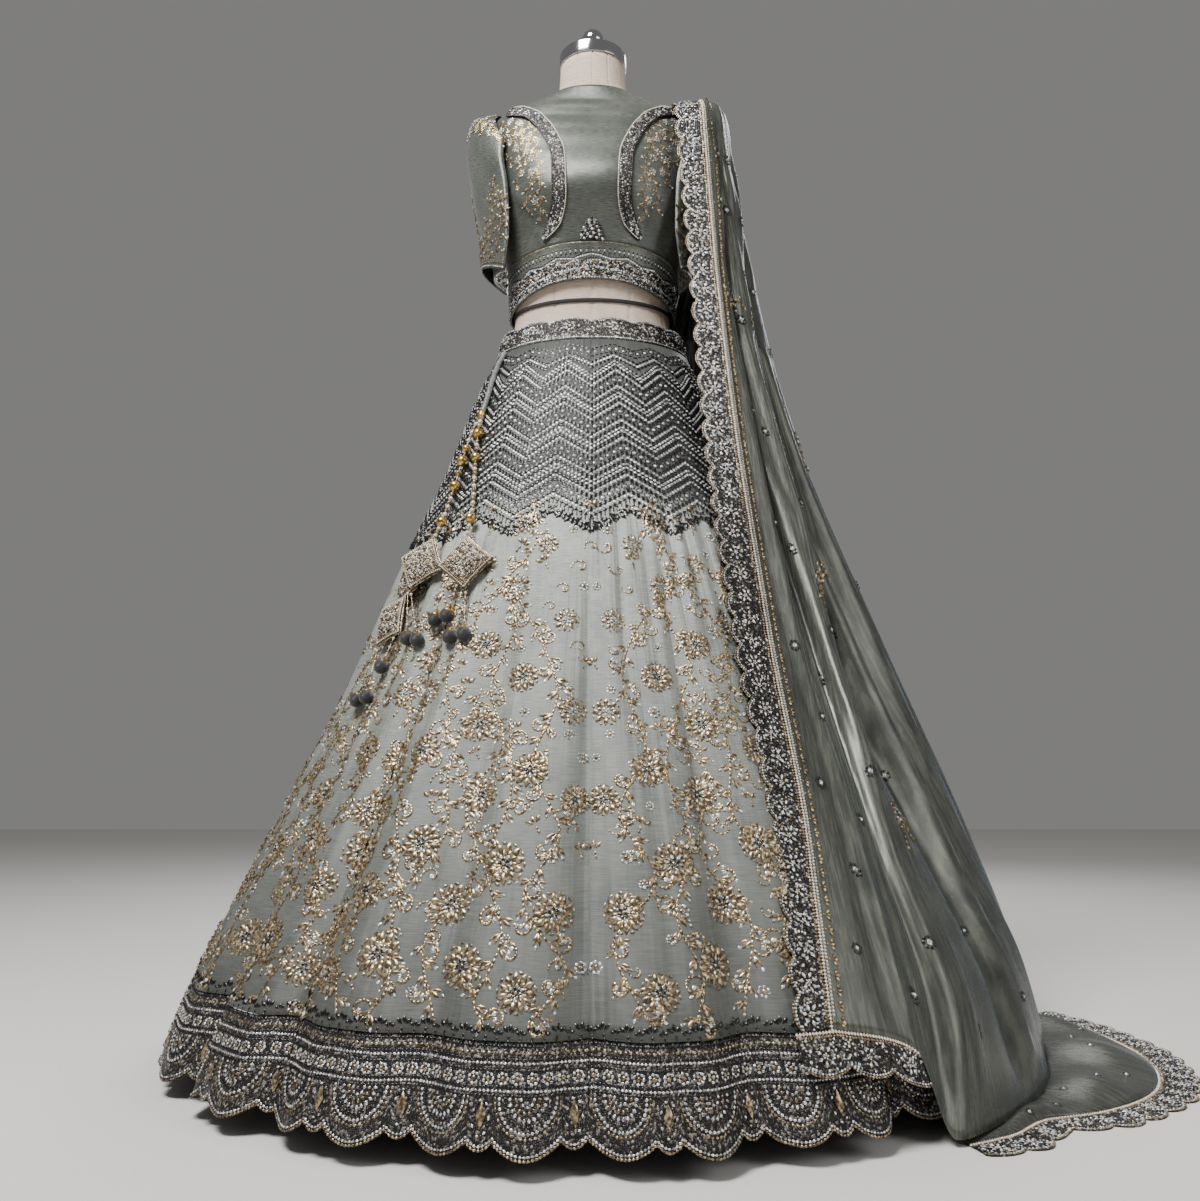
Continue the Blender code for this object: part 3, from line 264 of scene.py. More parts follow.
# Chromed brass, polished: mirror bright with faint wipe marks.
chrome, tree, shader = newMaterial("polishedChrome", "#c4c4c6", 0.09, Metallic=1.0)
wiped = addNode(tree, "MapRange", {0: objectNoise(tree, 40.0, 5.0), 3: 0.05, 4: 0.16})
tree.links.new(wiped.outputs[0], shader.inputs["Roughness"])
# Cotton twill tape, dyed black: matt with a fine rib.
blackTape, _, _ = wovenCloth("twillTape", ("#0c0c0d", "#141415", "#1f1f20"), 0.75, 0.0008, (0.004, 0.0012), 0.5)
# Powder-coated steel: an even satin black with a fine orange peel.
paintedSteel, tree, shader = newMaterial("powderCoatedSteel", "#222223", 0.45, IOR=1.5)
setBump(tree, shader, 0.15, 0.0003, objectNoise(tree, 900.0))
# Rolled satin cord: a soft shine along its length.
cordSatin, tree, shader = newMaterial("satinCord", "#6c706e", 0.38, IOR=1.5, Sheen_Weight=0.1)
setColour(tree, shader, objectNoise(tree, 220.0), ((0.35, "#555957"), (0.65, "#7d807c")))
# Balls wound with black silk thread: fine ribs, a dull shine.
threadBall, tree, shader = newMaterial("woundThread", "#1f1e20", 0.5, IOR=1.5, Sheen_Weight=0.25)
ribs = addNode(tree, "TexWave", {"Vector": addNode(tree, "TexCoord").outputs["Object"], "Scale": 330.0,
                                 "Distortion": 2.0}, bands_direction="DIAGONAL")
setBump(tree, shader, 0.6, 0.0005, ribs.outputs[1])
# Studio floor: pale matt paper.
floorPaper, tree, shader = newMaterial("studioPaper", "#dcdad6", 0.9)
setColour(tree, shader, objectNoise(tree, 300.0), ((0.3, "#d8d6d2"), (0.7, "#dfddd9")))
print("materials made")

# camera, lights and floor

studio = {
    "camera": (0.0126, -1.77, 0.39), "tilt": 99.0, "lens": 33.57, "key": ((-0.9, -1.5, 3.0), 1.0, 150.0),
    "fill": ((2.2, -1.6, 1.8), 1.4, 22.0), "rim": ((0.6, 2.4, 2.5), 1.6, 45.0), "world": 0.24}

cameraData = bpy.data.cameras.new("studioCamera")
cameraData.lens, cameraData.sensor_width, cameraData.clip_start = studio["lens"], 36.0, 0.05
camera = bpy.data.objects.new("studioCamera", cameraData)
camera.location = studio["camera"]
camera.rotation_euler = (math.radians(studio["tilt"]), 0.0, 0.0)
bpy.context.scene.collection.objects.link(camera)
bpy.context.scene.camera = camera

for lightName in ("key", "fill", "rim"):
    spot, size, power = studio[lightName]
    lightData = bpy.data.lights.new(lightName + "Light", "AREA")
    lightData.energy, lightData.size = power, size
    light = bpy.data.objects.new(lightName + "Light", lightData)
    light.location = spot
    light.rotation_euler = (Vector((0, 0, 0.85)) - Vector(spot)).to_track_quat("-Z", "Y").to_euler()
    bpy.context.scene.collection.objects.link(light)

world = bpy.data.worlds.new("softRoom")
world.use_nodes = True
world.node_tree.nodes["Background"].inputs[0].default_value = hexColour("#f1f0ee")
world.node_tree.nodes["Background"].inputs[1].default_value = studio["world"]
bpy.context.scene.world = world

deselectAll()
bpy.ops.mesh.primitive_plane_add(size=14.0, location=(0, 0, 0))
bpy.ops.object.mode_set(mode="EDIT")
bpy.ops.mesh.subdivide(number_cuts=3)
bpy.ops.object.mode_set(mode="OBJECT")
floor = bpy.context.object
floor.name = "studioFloor"
floor.data.materials.append(floorPaper)
floor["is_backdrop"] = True
print("camera, lights and floor made")

# how pieces are made

collection = bpy.data.collections.new("lehengaCholi")
bpy.context.scene.collection.children.link(collection)
areas = {}


def addPiece(name, mesh, mats, replaced=()):
    for mat in mats:
        mesh.materials.append(mat)
    obj = bpy.data.objects.new(name, mesh)
    collection.objects.link(obj)
    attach(obj, "root")
    if replaced:
        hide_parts(*replaced)
    return obj


def meshFrom(name, points, faces, smooth=True):
    mesh = bpy.data.meshes.new(name)
    mesh.from_pydata(np.asarray(points).tolist(), [], [tuple(int(k) for k in f) for f in faces])
    mesh.validate()
    if smooth:
        mesh.polygons.foreach_set("use_smooth", [True] * len(mesh.polygons))
    return mesh


def gridFaces(rows, columns, closed=False):
    r, c = np.meshgrid(np.arange(rows - 1), np.arange(columns if closed else columns - 1), indexing="ij")
    right = (c + 1) % columns
    return np.stack([r * columns + c, (r + 1) * columns + c, (r + 1) * columns + right, r * columns + right],
                    -1).reshape(-1, 4)


# A sheet of cloth on a grid: a wall that stands outwards from it, with UVs in metres along the cloth.
def clothPiece(name, grid, thickness, mat, replaced, closed=False):
    rows, columns = grid.shape[:2]
    mesh = meshFrom(name, grid.reshape(-1, 3), gridFaces(rows, columns, closed))
    middle = grid[rows // 2]
    if closed:
        middle = np.concatenate([middle, middle[:1]])
    across, down = lengthsAlong(middle), lengthsAlong(grid[:, columns // 2])
    r, c = np.meshgrid(np.arange(rows - 1), np.arange(columns if closed else columns - 1), indexing="ij")
    corners = [(r, c), (r + 1, c), (r + 1, c + 1), (r, c + 1)]
    uv = np.stack([np.stack([across[b], -down[a]], -1) for a, b in corners], 2).reshape(-1)
    mesh.uv_layers.new(name="cloth").data.foreach_set("uv", uv)
    obj = addPiece(name, mesh, [mat], replaced)
    shell = obj.modifiers.new("wall", "SOLIDIFY")
    shell.thickness, shell.offset = thickness, 1.0
    quad = grid if not closed else np.concatenate([grid, grid[:, :1]], 1)
    a, b = quad[1:, 1:] - quad[:-1, :-1], quad[1:, :-1] - quad[:-1, 1:]
    areas[name] = float(np.linalg.norm(np.cross(a, b), axis=-1).sum() / 2)
    return obj


def gridSurface(grid):  # a surface from a grid: u across and v upwards, both shares from 0 to 1
    rows, columns = grid.shape[:2]

    def surface(u, v):
        c = np.clip(u, 0, 1) * (columns - 1)
        r = (1 - np.clip(v, 0, 1)) * (rows - 1)
        c0, r0 = np.clip(c.astype(int), 0, columns - 2), np.clip(r.astype(int), 0, rows - 2)
        c, r = (c - c0)[..., None], (r - r0)[..., None]
        return ((1 - r) * ((1 - c) * grid[r0, c0] + c * grid[r0, c0 + 1])
                + r * ((1 - c) * grid[r0 + 1, c0] + c * grid[r0 + 1, c0 + 1]))
    return surface


def frameOn(surface, u, v, step):
    u, v = np.asarray(u, float), np.asarray(v, float)
    across = surface(u + step[0], v) - surface(u - step[0], v)
    up = surface(u, v + step[1]) - surface(u, v - step[1])
    perU = np.linalg.norm(across, axis=-1) / (2 * step[0])
    perV = np.linalg.norm(up, axis=-1) / (2 * step[1])
    normal = unit(np.cross(across, up))
    return surface(u, v), normal, unit(across), np.maximum(perU, 1e-6), np.maximum(perV, 1e-6)


# What is sewn on a cloth goes into its bag. A cloth is (bag, surface, step): step is the small (u, v)
# by which its directions are measured. spots: u, v, turn, size. motif: x, y, turn, length, width, finish.
def sewMotif(cloth, spots, motif, lift=0.0):
    bag, surface, step = cloth
    spots, motif = np.atleast_2d(np.asarray(spots, float)), np.atleast_2d(np.asarray(motif, float))
    u0, v0, turn, size = (spots[:, k][:, None] for k in range(4))
    _, _, _, perU, perV = frameOn(surface, spots[:, 0], spots[:, 1], step)
    x = (motif[:, 0] * np.cos(turn) - motif[:, 1] * np.sin(turn)) * size
    y = (motif[:, 0] * np.sin(turn) + motif[:, 1] * np.cos(turn)) * size
    place, normal, across, _, _ = frameOn(surface, (u0 + x / perU[:, None]).ravel(),
                                          (v0 + y / perV[:, None]).ravel(), step)
    angle = (motif[:, 2] + turn).ravel()[:, None]
    ahead = across * np.cos(angle) + np.cross(normal, across) * np.sin(angle)
    wide = np.broadcast_to(motif[:, 4], x.shape) * size
    bag.append((place + normal * lift, normal, ahead, (motif[:, 3] * size).ravel(), wide.ravel(),
                np.broadcast_to(motif[:, 5], x.shape).ravel().astype(int)))


# Sews a row of stones along a line of (u, v) points.
def sewLine(cloth, line, spacing, length, width, finish, turn=0.0):
    bag, surface, step = cloth
    line = np.asarray(line, float)
    fine = through(line, max(8, len(line) * 10)) if len(line) < 40 else line
    places, normal, across, _, _ = frameOn(surface, fine[:, 0], fine[:, 1], step)
    at, ahead = spaced(np.concatenate([places, normal], 1), spacing)
    place, normal = at[:, :3], unit(at[:, 3:])
    ahead = unit(ahead[:, :3])
    if turn:
        ahead = ahead * math.cos(turn) + np.cross(normal, ahead) * math.sin(turn)
    many = len(place)
    bag.append((place, normal, ahead, np.full(many, length), np.full(many, width), np.full(many, finish)))


# One mesh of cut stones, each a low four-sided pyramid that stands on the cloth.
def stonePiece(name, bag, rise=0.42):
    place, normal, ahead, length, width, finish = (np.concatenate([part[k] for part in bag]) for k in range(6))
    side = np.cross(normal, ahead)
    half, wide = (length / 2)[:, None], (width / 2)[:, None]
    high = (np.minimum(length, width) * rise)[:, None]
    points = np.stack([place + ahead * half, place + side * wide, place - ahead * half, place - side * wide,
                       place + normal * high], 1).reshape(-1, 3)
    count = len(place)
    first = (np.arange(count) * 5)[:, None]
    triangles = (first[:, :, None] + np.array([[0, 1, 4], [1, 2, 4], [2, 3, 4], [3, 0, 4]])).reshape(-1, 3)
    mesh = bpy.data.meshes.new(name)
    mesh.vertices.add(len(points))
    mesh.vertices.foreach_set("co", points.ravel())
    mesh.loops.add(len(triangles) * 3)
    mesh.loops.foreach_set("vertex_index", triangles.ravel())
    mesh.polygons.add(len(triangles))
    mesh.polygons.foreach_set("loop_start", np.arange(len(triangles)) * 3)
    mesh.polygons.foreach_set("material_index", np.repeat(finish, 4))
    mesh.update(calc_edges=True)
    print(name, count, "stones,", len(triangles), "triangles")
    return addPiece(name, mesh, stones)


def closedTube(rings, ends):  # rings of points, closed by a fan to a point at each end
    rows, sides = rings.shape[:2]
    first, last = rows * sides, (rows - 1) * sides
    faces = [tuple(f) for f in gridFaces(rows, sides, True)]
    for k in range(sides):
        after = (k + 1) % sides
        faces += [(first, k, after), (first + 1, last + after, last + k)]
    return np.concatenate([rings.reshape(-1, 3), ends]), faces


# A round solid along points with a radius at each.
def roundMesh(points, radii, sides):
    points = np.asarray(points, float)
    ahead = unit(np.gradient(points, axis=0))
    helper = np.array([0.0, 0.0, 1.0]) if abs(ahead[0, 2]) < 0.9 else np.array([1.0, 0.0, 0.0])
    right = unit(np.cross(ahead, helper))
    up = np.cross(right, ahead)
    turn = np.linspace(0, 2 * math.pi, sides, endpoint=False)
    ring = (right[:, None] * np.cos(turn)[None, :, None] + up[:, None] * np.sin(turn)[None, :, None])
    return closedTube(points[:, None] + ring * np.asarray(radii, float)[:, None, None], (points[0], points[-1]))


def joined(parts):  # several (points, faces) as one
    points, faces, base = [], [], 0
    for some, more in parts:
        points.append(some)
        faces += [tuple(k + base for k in f) for f in more]
        base += len(some)
    return np.concatenate(points), faces


def recalculated(obj):  # faces outwards
    deselectAll()
    obj.select_set(True)
    bpy.context.view_layer.objects.active = obj
    bpy.ops.object.mode_set(mode="EDIT")
    bpy.ops.mesh.select_all(action="SELECT")
    bpy.ops.mesh.normals_make_consistent(inside=False)
    bpy.ops.object.mode_set(mode="OBJECT")
    obj.select_set(False)


# Motif rows: x, y, turn, length, width, finish, in metres
def flowerMotif(radius, petals, outer, inner, middle):
    rows = []
    for k in range(petals):
        a = 2 * math.pi * k / petals
        b = a + math.pi / petals
        for angle, away, turn, length, width, finish in (
                (a, 0.68, a, 0.60, 0.34, outer), (b, 0.46, b, 0.34, 0.20, inner), (b, 0.92, b + 1.57, 0.26, 0.13, inner)):
            rows.append((math.cos(angle) * radius * away, math.sin(angle) * radius * away, turn, radius * length,
                         radius * width, finish))
    for k in range(5):
        a = 2 * math.pi * k / 5
        rows.append((math.cos(a) * radius * 0.2, math.sin(a) * radius * 0.2, a, radius * 0.22, radius * 0.16, middle))
    rows.append((0, 0, 0, radius * 0.2, radius * 0.2, outer))
    return rows


def sprigMotif(size, finish, tip):  # three leaves on a short stalk that points up
    rows = [(0, size * 0.22 * k, math.pi / 2, size * 0.24, size * 0.15, finish) for k in range(2)]
    for angle in (0.75, math.pi / 2, math.pi - 0.75):
        rows.append((math.cos(angle) * size * 0.34, size * 0.42 + math.sin(angle) * size * 0.30, angle,
                     size * 0.46, size * 0.27, tip))
    return rows


def scrollMotif(size, hand, finish):  # a curl that winds in to a bud
    rows = []
    for k in range(11):
        a = k / 10 * 4.4
        r = size * (1 - 0.075 * k)
        x, y = size - r * math.cos(a), r * math.sin(a) * hand
        rows.append((x, y, math.pi / 2 * hand + (-a if hand > 0 else a), size * 0.46, size * 0.27, finish))
    rows.append((size, 0, 0, size * 0.52, size * 0.46, silver))
    return rows


def ringMotif(radius, finish, middle, count=8):
    rows = [(math.cos(a) * radius, math.sin(a) * radius, a + 1.57, radius * 0.85, radius * 0.68, finish)
            for a in np.linspace(0, 2 * math.pi, count, endpoint=False)]
    return rows + [(0, 0, 0, radius * 1.15, radius * 1.15, middle)]


# the dress form

form = {
    # height, half width, front, back, roundness
    "sections": (
        (0.800, 0.140, 0.105, 0.110, 2.1), (0.900, 0.160, 0.112, 0.122, 2.2), (0.980, 0.160, 0.108, 0.118, 2.2),
        (1.075, 0.1538, 0.1101, 0.1101, 2.0), (1.100, 0.134, 0.094, 0.095, 2.0), (1.139, 0.128, 0.088, 0.088, 2.1),
        (1.200, 0.131, 0.093, 0.092, 2.2), (1.250, 0.139, 0.100, 0.096, 2.2), (1.330, 0.152, 0.113, 0.100, 2.3),
        (1.400, 0.160, 0.104, 0.102, 2.4), (1.450, 0.166, 0.084, 0.094, 2.5), (1.480, 0.162, 0.070, 0.082, 2.4),
        (1.498, 0.140, 0.062, 0.070, 2.2), (1.512, 0.104, 0.060, 0.064, 2.1), (1.528, 0.070, 0.058, 0.060, 2.0),
        (1.550, 0.058, 0.056, 0.057, 2.0), (1.597, 0.055, 0.055, 0.055, 2.0)),
    # side, height, rise, width, length
    "bust": (0.066, 1.328, 0.014, 0.058, 0.052),
    "seams": (0.0, 27.0, -27.0, 62.0, -62.0, 90.0, -90.0, 128.0, -128.0, 155.0, -155.0, 180.0),
    "seamDepth": 0.0016, "capRadius": 0.0575, "neckTop": 1.5973, "capBand": 0.022, "knob": 0.019}
formTable = np.array(form["sections"])


def formPoint(azimuth, height, bridge=True):
    rows = curveThrough(formTable[:, 0], formTable[:, 1:], height)
    side, ahead = np.sin(np.radians(azimuth)), np.cos(np.radians(azimuth))
    depth = np.where(ahead > 0, rows[..., 1], rows[..., 2])
    power = 2 / rows[..., 3]
    x = rows[..., 0] * np.sign(side) * np.abs(side) ** power
    y = -depth * np.sign(ahead) * np.abs(ahead) ** power
    at, high, rise, width, length = form["bust"]
    off = np.abs(x) - at
    off = np.where(off < 0, 0.0 if bridge else off, off)
    bump = rise * np.exp(-(off / width) ** 2 - ((height - high) / length) ** 2)
    y = y - np.where(ahead > 0, bump * ahead, 0.0)
    return np.stack([x, y, np.broadcast_to(height, x.shape)], -1)


def overForm(azimuth, height, lift):
    azimuth, height = np.broadcast_arrays(np.asarray(azimuth, float), np.asarray(height, float))
    across = formPoint(azimuth + 1.5, height) - formPoint(azimuth - 1.5, height)
    up = formPoint(azimuth, height + 0.003) - formPoint(azimuth, height - 0.003)
    return formPoint(azimuth, height) + unit(np.cross(across, up)) * np.asarray(lift)[..., None]


def azimuthOf(x, height):
    rows = curveThrough(formTable[:, 0], formTable[:, 1:], height)
    share = np.minimum(0.98, np.abs(x) / rows[..., 0]) ** (rows[..., 3] / 2)
    return np.sign(x) * np.degrees(np.arcsin(share))


turns = np.arange(240) * 1.5
heights = np.concatenate([np.linspace(1.597, 1.45, 26), np.linspace(1.44, 0.80, 54)])
turnGrid, heightGrid = np.meshgrid(turns, heights)
torsoGrid = formPoint(turnGrid, heightGrid, False)
for seam in form["seams"]:  # the cover's seams, pulled in a little
    near = (turnGrid - seam + 180) % 360 - 180
    pull = form["seamDepth"] * np.exp(-(near / 0.8) ** 2)[..., None]
    torsoGrid = torsoGrid - unit(torsoGrid * (1, 1, 0)) * pull
torsoPoints, torsoFaces = closedTube(torsoGrid, [(0, 0, heights[0]), (0, 0, heights[-1])])
torsoMesh = meshFrom("formTorso", torsoPoints, torsoFaces)
torsoUv = np.array([(torsoPoints[v][0] + torsoPoints[v][1] * 0.9, torsoPoints[v][2])
                    for p in torsoMesh.polygons for v in p.vertices])
torsoMesh.uv_layers.new(name="cloth").data.foreach_set("uv", torsoUv.ravel())
addPiece("formTorso", torsoMesh, [formCotton], ("form_torso",))

# the neck cap: a turned band with a shallow dome, its edges rounded
deselectAll()
bandTop = form["neckTop"] + form["capBand"]
bpy.ops.mesh.primitive_cylinder_add(vertices=72, radius=form["capRadius"], depth=form["capBand"],
                                    location=(0, 0, form["neckTop"] + form["capBand"] / 2))
cap = bpy.context.object
bpy.ops.object.transform_apply(location=True)
bpy.ops.object.mode_set(mode="EDIT")
bpy.ops.mesh.select_all(action="DESELECT")
bpy.ops.object.mode_set(mode="OBJECT")
for face in cap.data.polygons:
    face.select = face.normal.z > 0.9
bpy.ops.object.mode_set(mode="EDIT")
for inset, up in ((0.0020, 0.0010), (0.0075, 0.0032), (0.018, 0.0048), (0.024, 0.0026)):
    bpy.ops.mesh.inset(thickness=inset)
    bpy.ops.transform.translate(value=(0, 0, up))
bpy.ops.object.mode_set(mode="OBJECT")
bevel = cap.modifiers.new("edge", "BEVEL")
bevel.width, bevel.segments, bevel.limit_method, bevel.angle_limit = 0.0012, 3, "ANGLE", math.radians(40)
bpy.ops.object.modifier_apply(modifier="edge")
bpy.ops.object.shade_smooth_by_angle(angle=math.radians(35))
capMesh = cap.data.copy()
bpy.data.objects.remove(cap)
addPiece("neckCap", capMesh, [chrome], ("neck_cap",))

# the knob: a ball drawn out to a short neck below
deselectAll()
knobFoot = bandTop + 0.0123
bpy.ops.mesh.primitive_uv_sphere_add(segments=48, ring_count=32, radius=form["knob"],
                                     location=(0, 0, bandTop + 0.016 + form["knob"]))
knob = bpy.context.object
bpy.ops.object.transform_apply(location=True)
bpy.ops.object.mode_set(mode="EDIT")
bpy.ops.mesh.select_all(action="SELECT")
bpy.ops.mesh.bisect(plane_co=(0, 0, bandTop + 0.0175), plane_no=(0, 0, 1), clear_inner=True, use_fill=True)
bpy.ops.object.mode_set(mode="OBJECT")
for face in knob.data.polygons:
    face.select = face.normal.z < -0.95 and face.center.z < bandTop + 0.0176
bpy.ops.object.mode_set(mode="EDIT")
bpy.ops.mesh.extrude_region_move(TRANSFORM_OT_translate={"value": (0, 0, knobFoot - bandTop - 0.0175)})
bpy.ops.object.mode_set(mode="OBJECT")
bpy.ops.object.shade_smooth_by_angle(angle=math.radians(40))
knobMesh = knob.data.copy()
bpy.data.objects.remove(knob)
addPiece("neckKnob", knobMesh, [chrome], ("neck_knob",))

tapeTurns = np.arange(180) * 2.0
tape = {"heights": (1.142, 1.1405, 1.139, 1.1375, 1.136), "bulge": (0, 0.0003, 0.0004, 0.0003, 0)}
tapeGrid = np.stack([overForm(tapeTurns, z, np.full(180, 0.0014 + b))
                     for z, b in zip(tape["heights"], tape["bulge"])])
clothPiece("waistTape", tapeGrid, 0.0010, blackTape, ("waist_tape",), True)
for nodeName in ("stand_pole", "stand_base"):
    bpy.data.objects[nodeName].data.materials.clear()
    bpy.data.objects[nodeName].data.materials.append(paintedSteel)
print("dress form made")

# the choli

choli = {
    "ease": 0.0058, "silk": 0.0016, "trim": 0.0018, "band": 0.0032, "lapel": 0.021, "trimLift": 0.0036,
    "bustFoot": 1.265,
    # height, half height, half turn in degrees
    "armhole": (1.411, 0.081, 32.0), "bandTop": (1.232, 1.214), "hem": (1.172, 1.137),
    # soft drags and crumples: azimuth and height of each end, rise, width
    "creases": (
        (-30, 1.492, 20, 1.480, .0020, .008), (-38, 1.468, 8, 1.452, -.0014, .007),
        (4, 1.470, 40, 1.452, .0018, .008), (-20, 1.440, 34, 1.432, .0012, .009),
        (-46, 1.390, -16, 1.372, .0016, .010), (10, 1.388, 44, 1.366, .0014, .010),
        (-62, 1.350, -30, 1.270, .0026, .008), (-44, 1.300, -22, 1.240, -.0018, .007),
        (-20, 1.316, -12, 1.242, .0022, .007), (2, 1.312, 6, 1.246, .0018, .008),
        (18, 1.304, 26, 1.240, -.0016, .007), (34, 1.318, 30, 1.244, .0024, .008),
        (52, 1.340, 44, 1.250, .0020, .009), (66, 1.300, 58, 1.236, .0018, .009),
        (118, 1.470, 168, 1.440, .0018, .010), (-122, 1.462, -160, 1.430, .0020, .010),
        (128, 1.330, 150, 1.240, .0022, .010), (-116, 1.340, -140, 1.236, .0024, .010),
        (170, 1.300, -174, 1.236, .0018, .010), (-170, 1.400, 165, 1.380, -.0012, .012))}


def creaseLift(azimuth, height, creases, metres):
    lift = np.zeros(np.broadcast(azimuth, height).shape)
    for a0, z0, a1, z1, rise, width in creases:
        if a1 - a0 > 180:
            a1 -= 360
        x = ((azimuth - a0 + 180) % 360 - 180) * metres
        y = height - z0
        dx, dy = ((a1 - a0 + 180) % 360 - 180) * metres, z1 - z0
        t = np.clip((x * dx + y * dy) / (dx * dx + dy * dy), 0, 1)
        away = (x - t * dx) ** 2 + (y - t * dy) ** 2
        lift = lift + rise * np.sin(math.pi * (0.15 + 0.7 * t)) * np.exp(-away / width ** 2)
    return lift


def choliSurface(azimuth, height, lift=0.0):  # the silk's own inner face, with its creases
    azimuth, height = np.broadcast_arrays(np.asarray(azimuth, float), np.asarray(height, float))
    return overForm(azimuth, height, choli["ease"] + creaseLift(azimuth, height, choli["creases"], 0.0025) + lift)


def bandTopAt(azimuth):
    front = np.maximum(0, np.cos(np.radians(azimuth)))
    return choli["bandTop"][1] + (choli["bandTop"][0] - choli["bandTop"][1]) * front ** 2


def hemAt(azimuth):
    front = np.maximum(0, np.cos(np.radians(azimuth)))
    return choli["hem"][1] + (choli["hem"][0] - choli["hem"][1]) * front ** 1.5


for name, middle in (("Front", 0.0), ("Back", 180.0)):
    high, halfHigh, halfTurn = choli["armhole"]
    levels = np.concatenate([np.linspace(1.528, 1.33, 44), np.linspace(1.327, choli["bustFoot"], 13)])
    shares = np.linspace(-1, 1, 101)
    grid = []
    for level in levels:
        inside = max(0.0, 1 - ((level - high) / halfHigh) ** 2)
        grid.append(choliSurface(middle + (90 - halfTurn * math.sqrt(inside)) * shares, np.full(101, level)))
    azimuths = middle + 90 * shares
    for share in np.linspace(0.15, 1, 7):
        grid.append(choliSurface(azimuths, choli["bustFoot"] + (bandTopAt(azimuths) - choli["bustFoot"]) * share))
    clothPiece("choli" + name, np.array(grid), choli["silk"], shotSilk, ("choli_" + name.lower(),))
    grid = [choliSurface(azimuths, bandTopAt(azimuths) - 0.0003 + (hemAt(azimuths) - bandTopAt(azimuths)) * share)
            for share in np.linspace(0, 1, 22)]
    clothPiece("choliBand" + name, np.array(grid), choli["band"], shotSilk, ("choli_band_" + name.lower(),))

sleeveTable = np.array([  # front, outer, back, inner, from the cap to the cuff
    ((.146, -.076, 1.428), (.203, 0, 1.492), (.148, .078, 1.430), (.172, 0, 1.326)),
    ((.146, -.084, 1.395), (.214, 0, 1.441), (.152, .084, 1.396), (.173, 0, 1.315)),
    ((.137, -.092, 1.335), (.201, 0, 1.358), (.150, .088, 1.345), (.171, 0, 1.290)),
    ((.134, -.092, 1.262), (.189, 0, 1.286), (.149, .086, 1.278), (.168, 0, 1.255)),
    ((.142, -.084, 1.192), (.184, 0, 1.228), (.150, .080, 1.222), (.166, 0, 1.212))])


def parabola(a, b, c, t):
    return (1 - t) ** 2 * a + 2 * t * (1 - t) * (2 * b - (a + c) / 2) + t * t * c


def sleeveGrid(side):
    arc, steps = 36, 60
    turn = np.radians(90 - 180 * np.arange(2 * arc) / arc)
    lift = choli["ease"] + choli["silk"] + 0.0052
    high, halfHigh, halfTurn = (size * share for size, share in zip(choli["armhole"], (1, 1.05, 1.05)))
    loops = [overForm(90 - halfTurn * np.sin(turn), high + halfHigh * np.cos(turn), np.full(2 * arc, lift))]
    for front, outer, back, inner in sleeveTable:
        loops.append(np.array([parabola(front, outer, back, k / arc) for k in range(arc)]
                              + [parabola(back, inner, front, k / arc) for k in range(arc)]))
    grid = curveThrough(np.linspace(0, 1, len(loops)), np.array(loops), np.linspace(0, 1, steps + 1))
    # soft rings of slack where the empty sleeve bends, uneven round it
    t = np.linspace(0, 1, steps + 1)[:, None]
    turnAt = np.arange(2 * arc)[None] / (2 * arc) * 2 * math.pi
    slack = 0.0016 * np.sin(11 * t + 1.7 * np.sin(turnAt + side)) * np.sin(math.pi * np.clip(t * 1.1, 0, 1)) ** 2
    centre = grid.mean(1, keepdims=True)
    grid = grid + unit(grid - centre) * slack[..., None]
    return grid if side > 0 else grid[:, ::-1] * (-1, 1, 1)


for name, side in (("Left", 1), ("Right", -1)):
    clothPiece("sleeve" + name, sleeveGrid(side), choli["silk"], shotSilk, ("sleeve_" + name.lower(),),
               True)

lapelLine = through([(.134, 1.484), (.104, 1.468), (.072, 1.423), (.053, 1.366), (.050, 1.306), (.058, 1.266),
                     (.074, 1.240)], 60)
ahead = unit(np.gradient(lapelLine, axis=0))
lapelAcross = np.stack([-ahead[:, 1], ahead[:, 0]], 1)
lapelTaper = 0.25 + 0.75 * np.minimum(1, 6 * (1 - np.linspace(0, 1, 61)))  # narrow at the lower end
for name, side in (("Left", 1), ("Right", -1)):
    reach = (choli["lapel"] * lapelTaper)[:, None] * np.linspace(-0.5, 0.5, 7)[None]
    flat = lapelLine[:, None] + lapelAcross[:, None] * reach[..., None]
    grid = choliSurface(azimuthOf(flat[..., 0], flat[..., 1]), flat[..., 1], choli["trimLift"])
    if side < 0:
        grid = grid[:, ::-1] * (-1, 1, 1)
    clothPiece("lapel" + name, grid, choli["trim"], bandNet, ("lapel_" + name.lower(),))
grid = []
for height, half in ((1.268, .004), (1.262, .011), (1.252, .016), (1.240, .018), (1.2335, .019)):
    x = half * np.linspace(-1, 1, 11)
    grid.append(choliSurface(azimuthOf(x, np.full(11, height)), np.full(11, height), 0.0025))
clothPiece("choliCentreMotif", np.array(grid), choli["trim"], bandNet, ("choli_centre_motif",))
print("choli made")

# the lehenga

